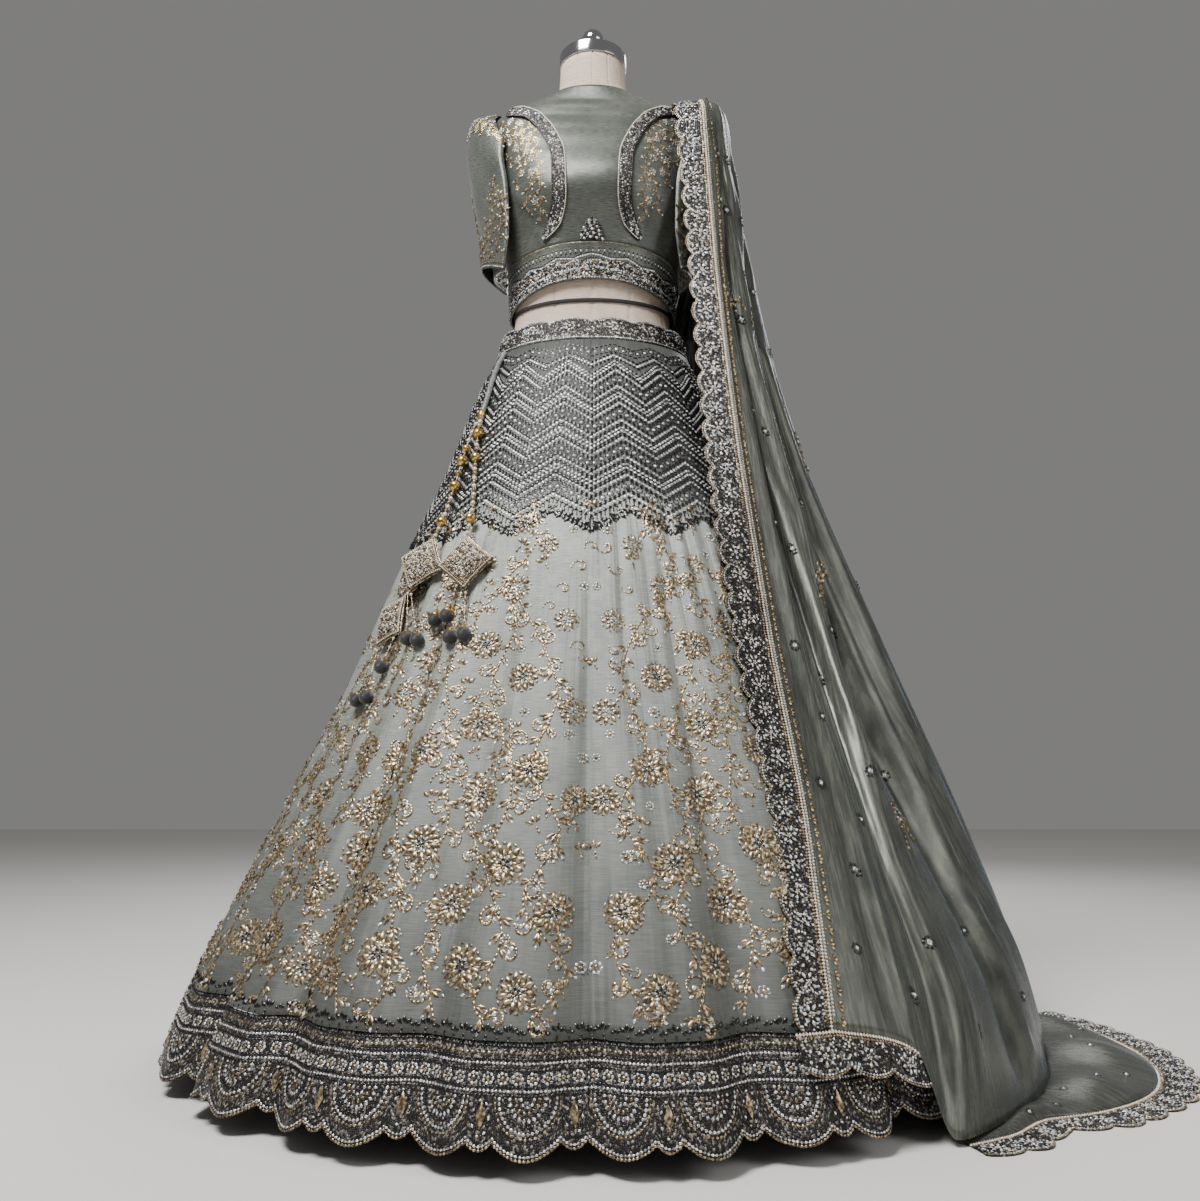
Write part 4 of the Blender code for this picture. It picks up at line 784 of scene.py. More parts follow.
lehenga = {
    "silk": 0.0032, "fluteDepth": 0.016, "start": 0.800, "hem": 0.020, "borderTop": 0.122, "kalis": 10,
    # degrees to a kali; pairs of a large and a small scallop round the hem
    "kaliTurn": 36, "hemPairs": 40, "waistTop": 1.103, "waistFoot": 1.0633, "waistScallops": 14,
    "strength": (1.00, 0.80, 1.10, 0.90, 1.05, 0.85, 1.15, 0.95, 1.20, 0.75),
    # long soft gathers: azimuth and height of each end, rise, width
    "creases": (
        (-4, .80, -6, .20, .006, .030), (9, .74, 12, .30, -.005, .024), (-17, .78, -22, .34, -.005, .026),
        (-27, .70, -31, .16, .007, .030), (-40, .74, -46, .40, .005, .026), (24, .70, 27, .22, .006, .028),
        (-58, .80, -64, .24, -.006, .030), (-78, .78, -84, .20, .007, .034), (-96, .74, -98, .34, -.006, .030),
        (-112, .80, -118, .18, .006, .034), (-134, .78, -138, .30, -.006, .030), (-150, .70, -154, .16, .007, .032),
        (-168, .76, -170, .26, .005, .030), (46, .78, 52, .22, .006, .030), (70, .74, 78, .24, -.005, .030),
        (96, .78, 104, .20, .007, .034), (122, .72, 126, .30, -.006, .030), (140, .78, 146, .18, .006, .032),
        (160, .74, 166, .24, .006, .030), (178, .80, 176, .34, -.005, .028), (-10, .36, -12, .13, -.005, .022),
        (3, .30, 4, .13, .004, .020), (-36, .34, -40, .13, -.005, .024), (17, .34, 19, .13, -.005, .022))}
skirtTable = np.array(((1.110, .146, .103), (1.063, .156, .112), (.998, .184, .152), (.877, .227, .216),
                       (.727, .286, .286), (.583, .340, .344), (.460, .394, .400), (.344, .450, .457),
                       (.234, .503, .510), (.131, .555, .562), (.081, .577, .584), (.018, .600, .608)))[::-1]
# fine gathers: count, start, drift, rise
gathers = ((41, 0.3, 1.1, .0013), (58, 1.9, -0.8, .0011), (74, 4.0, 0.6, .0009), (97, 2.2, -0.5, .0007))


def skirtSurface(azimuth, height, lift=0.0, creased=True):
    azimuth, height = np.broadcast_arrays(np.asarray(azimuth, float), np.asarray(height, float))
    rows = curveThrough(skirtTable[:, 0], skirtTable[:, 1:], height)
    turn = (azimuth % 360) / lehenga["kaliTurn"]
    fall = smoothStep((lehenga["start"] - height) / (lehenga["start"] - lehenga["hem"]))
    t = (turn * 2) % 1
    profile = -1 + 1.6 * smoothStep(np.minimum(t, 1 - t) * 3)
    flute = lehenga["fluteDepth"] * np.array(lehenga["strength"])[turn.astype(int) % lehenga["kalis"]] * fall * profile
    if creased:
        flute = flute + creaseLift(azimuth, height, lehenga["creases"], 0.0075)
        below = smoothStep((0.785 - height) / 0.08) * (0.45 + 0.75 * smoothStep((height - 0.15) / 0.5))
        for count, start, drift, rise in gathers:  # fine gathers that start under the yoke
            swell = 0.6 + 0.4 * np.sin(np.radians(azimuth) * (count % 7 + 2) + start * 3)
            wave = np.sin(count * np.radians(azimuth) + start + drift * 9 * height)
            flute = flute + rise * 1.5 * below * swell * wave
    flute = flute + lift
    side, ahead = np.sin(np.radians(azimuth)), np.cos(np.radians(azimuth))
    return np.stack([(rows[..., 0] + flute) * side, -(rows[..., 1] + flute) * ahead, height], -1)


skirtTurns = np.arange(360) * 1.0
skirtHeights = np.concatenate([np.linspace(1.0624, 0.78, 16), np.linspace(0.77, lehenga["borderTop"] + 0.0006, 44)])
grid = skirtSurface(skirtTurns[None], skirtHeights[:, None])
# each seam between kalis is a fine groove
halfTurn = lehenga["kaliTurn"] / 2
nearSeam = np.abs((skirtTurns + halfTurn) % lehenga["kaliTurn"] - halfTurn)
grid = grid - unit(grid * (1, 1, 0)) * (0.0012 * np.exp(-(nearSeam / 0.7) ** 2))[None, :, None]
clothPiece("lehengaSkirt", grid, lehenga["silk"], greySilk, ["kali_%02d" % (k + 1) for k in range(lehenga["kalis"])],
           True)


def waistTopAt(azimuth):  # the waistband's scalloped top edge
    arch = np.abs(np.sin(math.pi * lehenga["waistScallops"] * azimuth / 360)) ** 0.7
    return lehenga["waistTop"] - 0.006 * (1 - arch)


hemPitch = 360 / lehenga["hemPairs"]


def hemScallop(azimuth):  # how far the hem border hangs down: a large scallop and a small one in turn
    pair = (azimuth / hemPitch) % 1
    return np.where(pair < 0.72, 0.015 * np.sin(math.pi * np.minimum(pair / 0.72, 1)) ** 0.8,
                    0.008 * np.abs(np.sin(math.pi * (pair - 0.72) / 0.28)) ** 0.8)


bandTurns = np.arange(392) * 360 / 392
top = waistTopAt(bandTurns)
grid = np.array([skirtSurface(bandTurns, top + (lehenga["waistFoot"] - top) * share, 0.001, False)
                 for share in np.linspace(0, 1, 8)])
clothPiece("lehengaWaistband", grid, 0.0016, bandNet, ("lehenga_waistband",), True)

hemTurns = np.arange(720) * 0.5
hemEdge = lehenga["hem"] + 0.015 - hemScallop(hemTurns)
grid = np.array([skirtSurface(hemTurns, lehenga["borderTop"] + (hemEdge - lehenga["borderTop"]) * share)
                 for share in np.linspace(0, 1, 9)])
clothPiece("lehengaHemBorder", grid, 0.0016, borderNet,
           ["hem_border_%02d" % (k + 1) for k in range(lehenga["kalis"])], True)
print("lehenga made")

# the dupatta

dupatta = {
    "satin": 0.0016, "net": 0.0016, "border": 0.046, "scallop": 0.010,
    # finer folds over the long ones: share across and down of each end, rise, width in metres
    "creases": (
        (.08, .10, .10, .97, .010, .013), (.17, .22, .19, .95, -.012, .014), (.30, .12, .33, .80, .010, .015),
        (.38, .30, .40, .99, -.012, .016), (.46, .14, .46, .99, .016, .020), (.54, .20, .54, .95, -.016, .019),
        (.62, .30, .63, .99, .015, .022), (.70, .22, .71, .92, -.014, .022), (.78, .20, .80, .98, .015, .024),
        (.87, .30, .88, .99, -.013, .022), (.95, .24, .94, .95, .010, .018), (.25, .50, .27, .99, .008, .012),
        (.40, .04, .50, .26, .007, .010), (.22, .04, .36, .20, -.006, .008), (.66, .03, .58, .20, .006, .008)),
    "buttis": ((.45, .60), (.42, .44), (.62, .46), (.72, .28), (.50, .22), (.84, .62), (.86, .30), (.22, .74))}
fallHeights = np.array((0.0, 0.12, 0.3, 0.6, 0.9, 1.2, 1.44))
fallTable = {  # (x, y) of each long fold line, from the floor up, then its shoulder point and lowest height
    "edge": (
        ((.234, -.604), (.217, -.548), (.214, -.444), (.182, -.296), (.162, -.186), (.148, -.127), (.133, -.100)),
        (.128, -.004, 1.5122), .126),
    "seam": (
        ((.285, -.580), (.260, -.530), (.261, -.420), (.241, -.258), (.214, -.180), (.194, -.124), (.183, -.097)),
        (.176, -.004, 1.520), .126),
    "slope": (
        ((.340, -.550), (.308, -.504), (.293, -.398), (.272, -.230), (.238, -.150), (.203, -.104), (.193, -.090)),
        (.184, -.004, 1.526), .116),
    "valley": (
        ((.386, -.516), (.353, -.472), (.326, -.372), (.295, -.198), (.254, -.120), (.212, -.080), (.203, -.072)),
        (.192, -.004, 1.520), .094),
    "rim": (
        ((.393, -.504), (.408, -.442), (.372, -.352), (.335, -.196), (.286, -.106), (.240, -.064), (.214, -.064)),
        (.200, -.004, 1.527), .008),
    "hollow": (
        ((.468, -.438), (.464, -.372), (.412, -.278), (.340, -.128), (.287, -.064), (.238, -.036), (.219, -.045)),
        (.207, -.003, 1.519), .008),
    "ridge": (
        ((.586, -.264), (.570, -.210), (.497, -.176), (.385, -.100), (.300, -.038), (.252, -.018), (.227, -.028)),
        (.215, -.001, 1.523), .008),
    "outer": (
        ((.665, .006), (.640, .006), (.575, .006), (.452, .006), (.345, .006), (.271, .006), (.233, .000)),
        (.224, .004, 1.513), .008),
    "back": (
        ((.682, .110), (.656, .105), (.592, .100), (.462, .085), (.345, .062), (.268, .040), (.234, .022)),
        (.229, .020, 1.503), .008),
    "far": (
        ((.658, .200), (.634, .195), (.565, .185), (.440, .155), (.326, .108), (.258, .068), (.232, .042)),
        (.230, .038, 1.492), .008)}


def fallLine(name, steps):
    spots, shoulder, bottom = fallTable[name]
    spots, shoulder = np.array(spots), np.array(shoulder)
    first = np.array((*spots[-1], 1.44))
    corner = np.array((first[0], first[1] * 0.86 + shoulder[1] * 0.14, shoulder[2] - 0.008))
    t = (np.arange(8) / 8)[:, None]
    over = (1 - t) ** 2 * shoulder + 2 * t * (1 - t) * corner + t * t * first
    z = 1.44 + (bottom - 1.44) * np.linspace(0, 1, steps + 1)
    return np.concatenate([over, np.column_stack([curveThrough(fallHeights, spots, z), z])])


def gridNormals(grid):
    return unit(np.cross(np.gradient(grid, axis=1), -np.gradient(grid, axis=0)))


def creasedGrid(grid, creases, hold):  # small folds that fade out at the held edges
    rows, columns = grid.shape[:2]
    run = np.array([lengthsAlong(row) for row in grid])
    down = lengthsAlong(grid[:, columns // 2])[:, None]
    lift = np.zeros((rows, columns))
    for u0, v0, u1, v1, rise, width in creases:
        v = np.linspace(0, 1, rows)[:, None]
        t = np.clip((v - v0) / (v1 - v0), 0, 1)
        u = u0 + (u1 - u0) * t + 0.008 * np.sin(7 * t + 9 * u0)
        away = run - u * run[:, -1:]
        ends = np.maximum(0, np.maximum(v0 - v, v - v1)) * down[-1]
        lift += rise * np.exp(-(away / width) ** 2 - (ends / 0.05) ** 2) * (0.55 + 0.45 * np.sin(math.pi * t))
    return grid + gridNormals(grid) * (lift * hold)[..., None]


fallNames = ("seam", "slope", "valley", "rim", "hollow", "ridge", "outer", "back", "far")
fallLines = {name: fallLine(name, 150) for name in fallNames + ("edge",)}
fallGrid = np.stack([through(np.array([fallLines[name][r] for name in fallNames]), 96) for r in range(159)])
down = np.linspace(0, 1, 159)[:, None]
hold = np.clip(down / 0.10, 0, 1) * np.clip((1 - down) / 0.03, 0, 1)
hold = hold * np.clip(np.linspace(0, 1, 97) / 0.06, 0, 1)[None] * np.clip(np.linspace(1, 0, 97) / 0.04, 0, 1)[None]
fallGrid = creasedGrid(fallGrid, dupatta["creases"], hold)
clothPiece("dupattaFrontFall", fallGrid, dupatta["satin"], oliveSatin, ("dupatta_front_fall",))


# A border strip from a sewn line to a free line with a scalloped edge, rows from the sewn line out
# or the other way, with a soft crown between.
def borderStrip(name, sewn, free, replaced, pitch, flip=False):
    run = lengthsAlong(free)
    count = max(1, round(run[-1] / pitch))
    columns = max(count * 11, 2)
    at = np.linspace(0, run[-1], columns + 1)
    share = at / run[-1]
    inner = np.stack([np.interp(at, run, sewn[:, k]) for k in range(3)], 1)
    outer = np.stack([np.interp(at, run, free[:, k]) for k in range(3)], 1)
    arch = np.abs(np.sin(math.pi * count * share)) ** 0.7
    reach = 1 - (dupatta["scallop"] / dupatta["border"]) * (1 - arch)
    grid = np.array([inner + (outer - inner) * (reach * s)[:, None] for s in np.linspace(0, 1, 7)])
    if flip:
        grid = grid[:, ::-1]
    clothPiece(name, grid, dupatta["net"], borderNet, replaced)
    return grid


def shiftedTo(points, others, distance):
    return points + unit(others - points) * distance


seamLine, edgeLine = fallGrid[:, 0], fallLines["edge"]
borderFront = borderStrip("dupattaBorderFront", shiftedTo(seamLine, edgeLine, 0.0003), edgeLine,
                          ("dupatta_border_front",), 0.042, True)
farLine, backLine = fallGrid[:, -1], fallLines["back"]
away = farLine + unit(farLine - backLine) * dupatta["border"]
borderFar = borderStrip("dupattaBorderFar", shiftedTo(farLine, away, 0.0003), away, ("dupatta_border_far",), 0.050)
valleyColumn = 96 * 2 // 8
sewn = np.concatenate([fallLines["edge"][-1:], fallGrid[-1, :valleyColumn + 1]]) - (0, 0, 0.0006)
sewn = through(sewn[::4] if len(sewn) % 4 == 1 else sewn, 60)
outward = unit(sewn * (1, 1, 0))
free = sewn + outward * 0.022 + np.array((0, 0, 0.022 - 0.046 - 0.017))
borderHanging = borderStrip("dupattaBorderHanging", sewn, free, ("dupatta_border_hanging",), 0.056)

train = {
    "foot": (
        (.404, -.486), (.452, -.444), (.500, -.382), (.545, -.314), (.587, -.244), (.622, -.156), (.650, -.064),
        (.668, .030), (.678, .115), (.658, .205)),
    "seam": (
        (.409, -.494), (.468, -.458), (.524, -.404), (.592, -.378), (.665, -.330), (.722, -.262), (.762, -.165),
        (.778, -.055), (.768, .065), (.730, .178)),
    "edge": (
        (.418, -.534), (.490, -.506), (.540, -.450), (.610, -.432), (.688, -.378), (.758, -.305), (.808, -.196),
        (.832, -.066), (.818, .078), (.772, .206)),
    "wave": (.002, .004, .012, .006, .018, .008, .020, .008, .014, .004)}
foot, seamFloor, edgeFloor = (through(np.column_stack([train[k], np.zeros(10)]), 120) for k in ("foot", "seam",
    "edge"))
wave = through(np.array(train["wave"])[:, None], 120)
grid = []
for s in np.linspace(0, 1, 15):
    row = foot + (seamFloor - foot) * s
    row[:, 2] = wave[:, 0] * np.sin(math.pi * min(1, s / 1.1)) ** 1.2 + 0.006 * (1 - s) ** 3
    grid.append(row)
grid = np.array(grid)
clothPiece("dupattaTrain", grid, dupatta["satin"], oliveSatin, ("dupatta_train",))
trainGrid = grid
borderFloor = borderStrip("dupattaBorderFloor", shiftedTo(seamFloor, edgeFloor, 0.0014), edgeFloor,
                          ("dupatta_border_floor",), 0.052)

backHeights = np.array((.78, .88, .98, 1.1, 1.25, 1.4, 1.48, 1.512, 1.52))
backDepths = np.array((.270, .222, .176, .138, .126, .118, .082, .030, .004))


def backDepth(x, height, pleat):
    hang = curveThrough(backHeights, backDepths, height)
    if height > 1.15:
        return hang + pleat * min(1.0, (1.53 - height) / 0.1)
    half, depth = curveThrough(skirtTable[:, 0], skirtTable[:, 1:], np.array(height))
    skirt = (depth + 0.012) * np.sqrt(np.maximum(0, 1 - (x / (half + 0.02)) ** 2))
    return np.maximum(np.where(skirt < hang, 0.55 * hang + 0.45 * skirt, skirt), skirt) + pleat


backLines = ((.174, .060, .004), (.181, .094, .004), (.187, .132, .012), (.194, .170, .002), (.200, .208, .012),
             (.206, .248, .006))
grid = [fallGrid[0] + (0, 0.0008, 0)]
for r in range(1, 81):
    t = r / 80
    z = 1.52 + (0.78 - 1.52) * t ** 1.5
    spread = float(smoothStep((t - 0.35) / 0.65))
    row = [(a + (b - a) * spread, float(backDepth(np.array(a + (b - a) * spread), z, pleat)), z)
           for a, b, pleat in backLines]
    grid.append(through(np.array(row), 96))
backGrid = np.array(grid)[:, ::-1]
clothPiece("dupattaBackFall", backGrid, dupatta["satin"], oliveSatin, ("dupatta_back_fall",))
inner = backGrid[:, -1]
path = np.concatenate([inner, backGrid[-1][::-1][1:]])
out = np.concatenate([np.tile((-1.0, 0, 0), (len(inner) - 1, 1)), [(-1.0, 0, -1.0)], np.tile((0, 0, -1.0), (96, 1))])
rim = path + out * dupatta["border"]
depths = [max(p[1] - 0.004, float(backDepth(np.array(q[0]), q[2], 0.002))) for p, q in zip(path, rim)]
rim = np.column_stack([rim[:, 0], depths, rim[:, 2]])
borderBack = borderStrip("dupattaBorderBack", path + unit(out) * 0.0016, rim, ("dupatta_border_back",), 0.052, True)
print("dupatta made")

# the drawstring and its latkans

latkan = {
    "cord": 0.008, "pad": 0.058, "padThick": 0.018, "lean": 0.28, "ball": 0.0100,
    "route": (
        (-58.0, 1.0600, .0068), (-57.0, 1.0400, .0110), (-54.5, 1.0100, .0110), (-52.5, .9800, .0105),
        (-51.3, .9580, .0110), (-50.6, .9340, .0125)),
    # azimuth, height and lift of its middle, the way it faces, its turn
    "pads": {
        "latkan_pad_1": ((-46.0, .686, .0270), -28.0, 27.0), "latkan_pad_2": ((-31.0, .678, .0240), -18.0, -40.0),
        "latkan_pad_3": ((-54.5, .6086, .0190), -50.0, 14.0), "latkan_pad_4": ((-52.9, .666, .0175), -59.0, 24.0)},
    # side, route, pad and the corner it holds, sizes of its beads
    "strands": (
        (1.0, ((-47.0, .900, .0145), (-42.5, .850, .0145), (-36.0, .770, .0155)), "latkan_pad_2", -1.0, 1.0,
         (.0045, .0085, .0040, .0070, .0040, .0040, .0040, .0040, .0080, .0035)),
        (-1.0, ((-52.0, .900, .0145), (-50.4, .850, .0145), (-47.6, .775, .0155)), "latkan_pad_1", 1.0, 1.0,
         (.0040, .0040, .0065, .0090, .0055, .0085, .0040, .0040, .0080, .0035))),
    # pad and the corner it hangs from, side, azimuth and height of the ball
    "balls": (
        ("latkan_pad_1", -1, -1, -1, (-43.8, .577)), ("latkan_pad_1", -1, -1, 1, (-40.2, .573)),
        ("latkan_pad_2", -.5, -1, 0, (-37.2, .600)), ("latkan_pad_2", 1, -1, -1, (-30.8, .573)),
        ("latkan_pad_2", .5, -1, 0, (-33.7, .604)), ("latkan_pad_2", 1, -1, 1, (-27.2, .575)),
        ("latkan_pad_3", -1, -1, -1, (-56.2, .496)), ("latkan_pad_3", -1, -1, 1, (-52.4, .499)),
        ("latkan_pad_3", .5, -1, 0, (-50.0, .540)))}


def overSkirt(azimuth, height, lift):  # the same plain flutes as the solids have, without creases
    return skirtSurface(np.array(float(azimuth)), np.array(float(height)), lift, False)


doriPoints = through(np.array([overSkirt(*p) for p in latkan["route"]]), 30)
doriCurve = bpy.data.curves.new("dori", "CURVE")
doriCurve.dimensions, doriCurve.bevel_depth, doriCurve.bevel_resolution = "3D", latkan["cord"] / 2, 5
doriCurve.use_fill_caps = True
spline = doriCurve.splines.new("POLY")
spline.points.add(len(doriPoints) - 1)
spline.points.foreach_set("co", np.column_stack([doriPoints, np.ones(len(doriPoints))]).ravel())
doriCurve.materials.append(cordSatin)
dori = bpy.data.objects.new("drawstring", doriCurve)
collection.objects.link(dori)
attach(dori, "root")
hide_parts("dori")


def padFrame(name):
    place, facing, turn = latkan["pads"][name]
    facing, turn = math.radians(facing), math.radians(turn)
    out = unit(np.array((math.sin(facing), -math.cos(facing), latkan["lean"])))
    across = unit(np.cross((0, 0, 1.0), out))
    up = np.cross(out, across)
    c, s = math.cos(turn), math.sin(turn)
    return overSkirt(*place), across * c + up * s, up * c - across * s, out


def padPoint(name, a, b, face=0.0):
    centre, u, v, out = padFrame(name)
    a, b = np.asarray(a, float), np.asarray(b, float)
    pull = (1 - 0.05 * (1 - a * a) * b * b - 0.05 * (1 - b * b) * a * a)[..., None]
    plump = 0.18 + 0.82 * np.maximum(0, 1 - a * a) ** 0.6 * np.maximum(0, 1 - b * b) ** 0.6
    return (centre + (u * a[..., None] + v * b[..., None]) * latkan["pad"] / 2 * pull
            + out * (face * plump * latkan["padThick"] / 2)[..., None])


def padHook(name, a, b, side, clear):
    spot, (centre, _, _, out) = padPoint(name, a, b), padFrame(name)
    ahead = unit(spot - centre)
    return spot + ahead * clear + np.cross(out, ahead) * side * 0.0027


for number, (side, route, padName, a, b, sizes) in enumerate(latkan["strands"], 1):
    end, before = doriPoints[-1], doriPoints[-2]
    ahead = unit(end - before)
    start = end + ahead * 0.0008 + unit(np.cross(ahead, unit(end * (1, 1, 0)))) * -side * 0.0038
    stops = [start] + [overSkirt(*p) for p in route] + [padHook(padName, a, b, 0, 0.0009)]
    line = through(np.array(stops), 90)
    run = lengthsAlong(line)
    step = run[-1] / len(sizes)
    parts = [roundMesh(line[::3], np.full(31, 0.0011), 6)]
    finishes = [copper] * len(parts[0][1])
    for k, size in enumerate(sizes):
        middle = (k + 0.5) * step
        places = [size] if size > 0.005 else [size * 0.85] * 3
        for j, radius in enumerate(places):
            at = middle + (j - (len(places) - 1) / 2) * step * 0.32
            angles = np.radians(np.linspace(-80, 80, 9))
            centre = np.array([np.interp(at, run, line[:, m]) for m in range(3)])
            ahead = unit(np.array([np.interp(at + 0.001, run, line[:, m]) for m in range(3)]) - centre)
            ball = roundMesh(centre + ahead * (np.sin(angles) * radius)[:, None], np.cos(angles) * radius, 14)
            parts.append(ball)
            finishes += [gold if size > 0.006 else (pearl if (k + j) % 2 else copper)] * len(ball[1])
    points, faces = joined(parts)
    mesh = meshFrom("latkanStrand%d" % number, points, faces)
    mesh.polygons.foreach_set("material_index", finishes[:len(mesh.polygons)])
    recalculated(addPiece("latkanStrand%d" % number, mesh, stones, ("latkan_strand_%d" % number,)))
ahead = unit(doriPoints[-1] - doriPoints[-2])
at = doriPoints[-1] + ahead * np.array((-.012, -.0115, -.008, -.0005, .0015, .002))[:, None]
doriCap = addPiece("doriCap", meshFrom("doriCap", *roundMesh(at, (.0041, .0049, .0052, .0050, .0036, .001), 20)),
                   [stones[gold]])
recalculated(doriCap)
tuple(doriPoints[0])
float(lengthsAlong(doriPoints)[-1])

latkanBag = []
for name in latkan["pads"]:
    number = name[-1]
    n = 25
    a, b = np.meshgrid(np.linspace(-1, 1, n), np.linspace(1, -1, n))
    front, back = padPoint(name, a, b, 1.0), padPoint(name, a, b, -1.0)
    faces = [tuple(f) for f in gridFaces(n, n)] + [tuple(int(k) + n * n for k in f[::-1]) for f in gridFaces(n, n)]
    rimIndex = (list(range(n)) + [r * n + n - 1 for r in range(1, n)]
                + [(n - 1) * n + c for c in range(n - 2, -1, -1)] + [r * n for r in range(n - 2, 0, -1)])
    for p, q in zip(rimIndex, rimIndex[1:] + rimIndex[:1]):
        faces.append((p, q, q + n * n, p + n * n))
    mesh = meshFrom("latkanPad" + number, np.concatenate([front.reshape(-1, 3), back.reshape(-1, 3)]), faces)
    uv = np.array([(mesh.vertices[v].co.x * 1.1, mesh.vertices[v].co.z) for p in mesh.polygons for v in p.vertices])
    mesh.uv_layers.new(name="cloth").data.foreach_set("uv", uv.ravel())
    pad = addPiece("latkanPad" + number, mesh, [padNet], (name,))
    recalculated(pad)
    rimPoints = padPoint(name, *(np.concatenate(s) for s in (
        (np.linspace(-1, 1, 20), np.ones(20), np.linspace(1, -1, 20), -np.ones(20)),
        (np.ones(20), np.linspace(1, -1, 20), -np.ones(20), np.linspace(-1, 1, 20)))))
    piping = addPiece("padPiping" + number,
                      meshFrom("padPiping" + number, *roundMesh(rimPoints, np.full(80, 0.0013), 8)),
                      [stones[copper]])
    recalculated(piping)

    def padFace(u, v, padName=name):
        return padPoint(padName, u, v, 1.0)

    padCloth = (latkanBag, padFace, (0.01, 0.01))
    for ring, finish in ((0.93, pearl), (0.84, copper)):
        corners = np.array([(-1, 1), (1, 1), (1, -1), (-1, -1), (-1, 1)]) * ring
        line = np.concatenate([np.linspace(p, q, 20)[:-1] for p, q in zip(corners, corners[1:])] + [corners[:1]])
        sewLine(padCloth, line, 0.0030, 0.0031, 0.0027, finish)
    draw = np.random.default_rng(30 + int(number))
    spots = np.column_stack([draw.uniform(-0.78, 0.78, (420, 2)), draw.uniform(0, 3, 420),
                             draw.uniform(0.8, 1.2, 420)])
    for kind, part in ((copper, slice(0, 180)), (pearl, slice(180, 270)), (dark, slice(270, 350)),
                       (silver, slice(350, 420))):
        sewMotif(padCloth, spots[part], [(0, 0, 0, 0.0030, 0.0026, kind)])

for number, (padName, a, b, side, (azimuth, height)) in enumerate(latkan["balls"], 1):
    clear = 0.0002 if abs(a * b) == 1 else 0.0014
    topPoint, low = padHook(padName, a, b, side, clear), overSkirt(azimuth, height, 0.0155)
    hang, reach, radius = unit(low - topPoint), np.linalg.norm(low - topPoint), latkan["ball"]
    angles = np.radians(np.linspace(-86, 86, 13))
    parts = [roundMesh(low + hang * (np.sin(angles) * radius)[:, None], np.cos(angles) * radius, 20)]
    counts = [(0, len(parts[0][1]))]
    capAt = low - hang * np.array([.0145, .0140, .0110, .0085, .0070, .0066])[:, None]
    parts.append(roundMesh(capAt, (.0012, .0026, .0040, .0066, .0078, .0060), 16))
    counts.append((gold, len(parts[-1][1])))
    parts.append(roundMesh(topPoint + hang * (np.linspace(0, 1, 6) * (reach - .0135))[:, None], np.full(6, .0007), 6))
    counts.append((copper, len(parts[-1][1])))
    for k in range(5):
        centre = topPoint + hang * (reach - .0150) * (0.10 + 0.20 * k)
        angles = np.radians(np.linspace(-75, 75, 5))
        parts.append(roundMesh(centre + hang * (np.sin(angles) * .0021)[:, None], np.cos(angles) * .0021, 8))
        counts.append((pearl if k % 2 == 0 else copper, len(parts[-1][1])))
    points, faces = joined(parts)
    mesh = meshFrom("latkanBall%d" % number, points, faces)
    index = np.concatenate([[5 if k == 0 else finish] * count for k, (finish, count) in enumerate(counts)])
    mesh.polygons.foreach_set("material_index", index[:len(mesh.polygons)])
    recalculated(addPiece("latkanBall%d" % number, mesh, stones + [threadBall], ("latkan_ball_%d" % number,)))
stonePiece("latkanBeads", latkanBag, 0.7)
print("latkans made")

# embroidery on the lehenga

unitFlower = flowerMotif(1.0, 8, copper, copper, silver)
unitBloom = flowerMotif(1.0, 11, copper, copper, dark) + flowerMotif(0.46, 6, silver, copper, dark)
unitRosette = ringMotif(0.72, silver, copper, 7)
leafMotif = [(0.0080, 0.0018, 0.25, 0.0135, 0.0048, copper), (0.0080, -0.0018, -0.25, 0.0135, 0.0048, copper),
             (0.0165, 0, 0, 0.0055, 0.0036, silver)]
budMotif = [(0.005, 0, 0, 0.008, 0.003, copper), (0.0115, 0, 0, 0.006, 0.0045, silver),
            (0.010, 0.0035, 0.5, 0.006, 0.0024, gold), (0.010, -0.0035, -0.5, 0.006, 0.0024, gold)]
jaal = {
    # (share of a kali from its middle, height) of each stem from the yoke to the border
    "stems": (
        ((0, .775), (-.10, .720), (.10, .655), (-.04, .600), (.06, .520), (-.08, .440), (.05, .375), (-.06, .300),
         (.08, .220), (0, .140)),
        ((.02, .660), (.22, .610), (.31, .540), (.22, .460), (.36, .385), (.26, .300), (.40, .225), (.32, .140)),
        ((-.03, .620), (-.22, .570), (-.33, .500), (-.24, .420), (-.38, .340), (-.26, .270), (-.42, .200),
         (-.32, .140)),
        ((.10, .50), (.16, .42), (.10, .34), (.22, .26), (.16, .18), (.2, .140)),
        ((.50, .690), (.43, .640), (.55, .570), (.45, .490), (.55, .400), (.46, .320), (.55, .230), (.49, .140)),
        ((-.10, .46), (-.16, .38), (-.10, .31), (-.2, .23), (-.14, .17), (-.18, .140))),
    # share of a kali, height, radius
    "flowers": (
        (0, .735, .012), (-.20, .700, .011), (.24, .676, .012), (-.02, .640, .015), (.36, .600, .012),
        (-.36, .590, .013), (.12, .560, .017), (-.14, .515, .018), (.40, .500, .015), (-.42, .470, .015),
        (.06, .455, .020), (.30, .425, .018), (-.24, .400, .020), (-.02, .370, .021), (-.44, .365, .016),
        (.44, .350, .018), (.18, .315, .022), (-.18, .295, .023), (.36, .262, .020), (.01, .250, .022),
        (-.38, .245, .021), (.22, .198, .024), (-.08, .190, .023), (-.28, .168, .019), (.42, .172, .019),
        (.50, .655, .012), (.52, .545, .015), (.49, .415, .018), (.53, .300, .020), (.50, .218, .020))}
skirtStep = (0.15, 0.002)


def onSkirt(azimuth, height):
    return skirtSurface(azimuth, height, lehenga["silk"] + 0.0011)


def hemSurface(azimuth, height):
    return skirtSurface(azimuth, height, 0.0024)


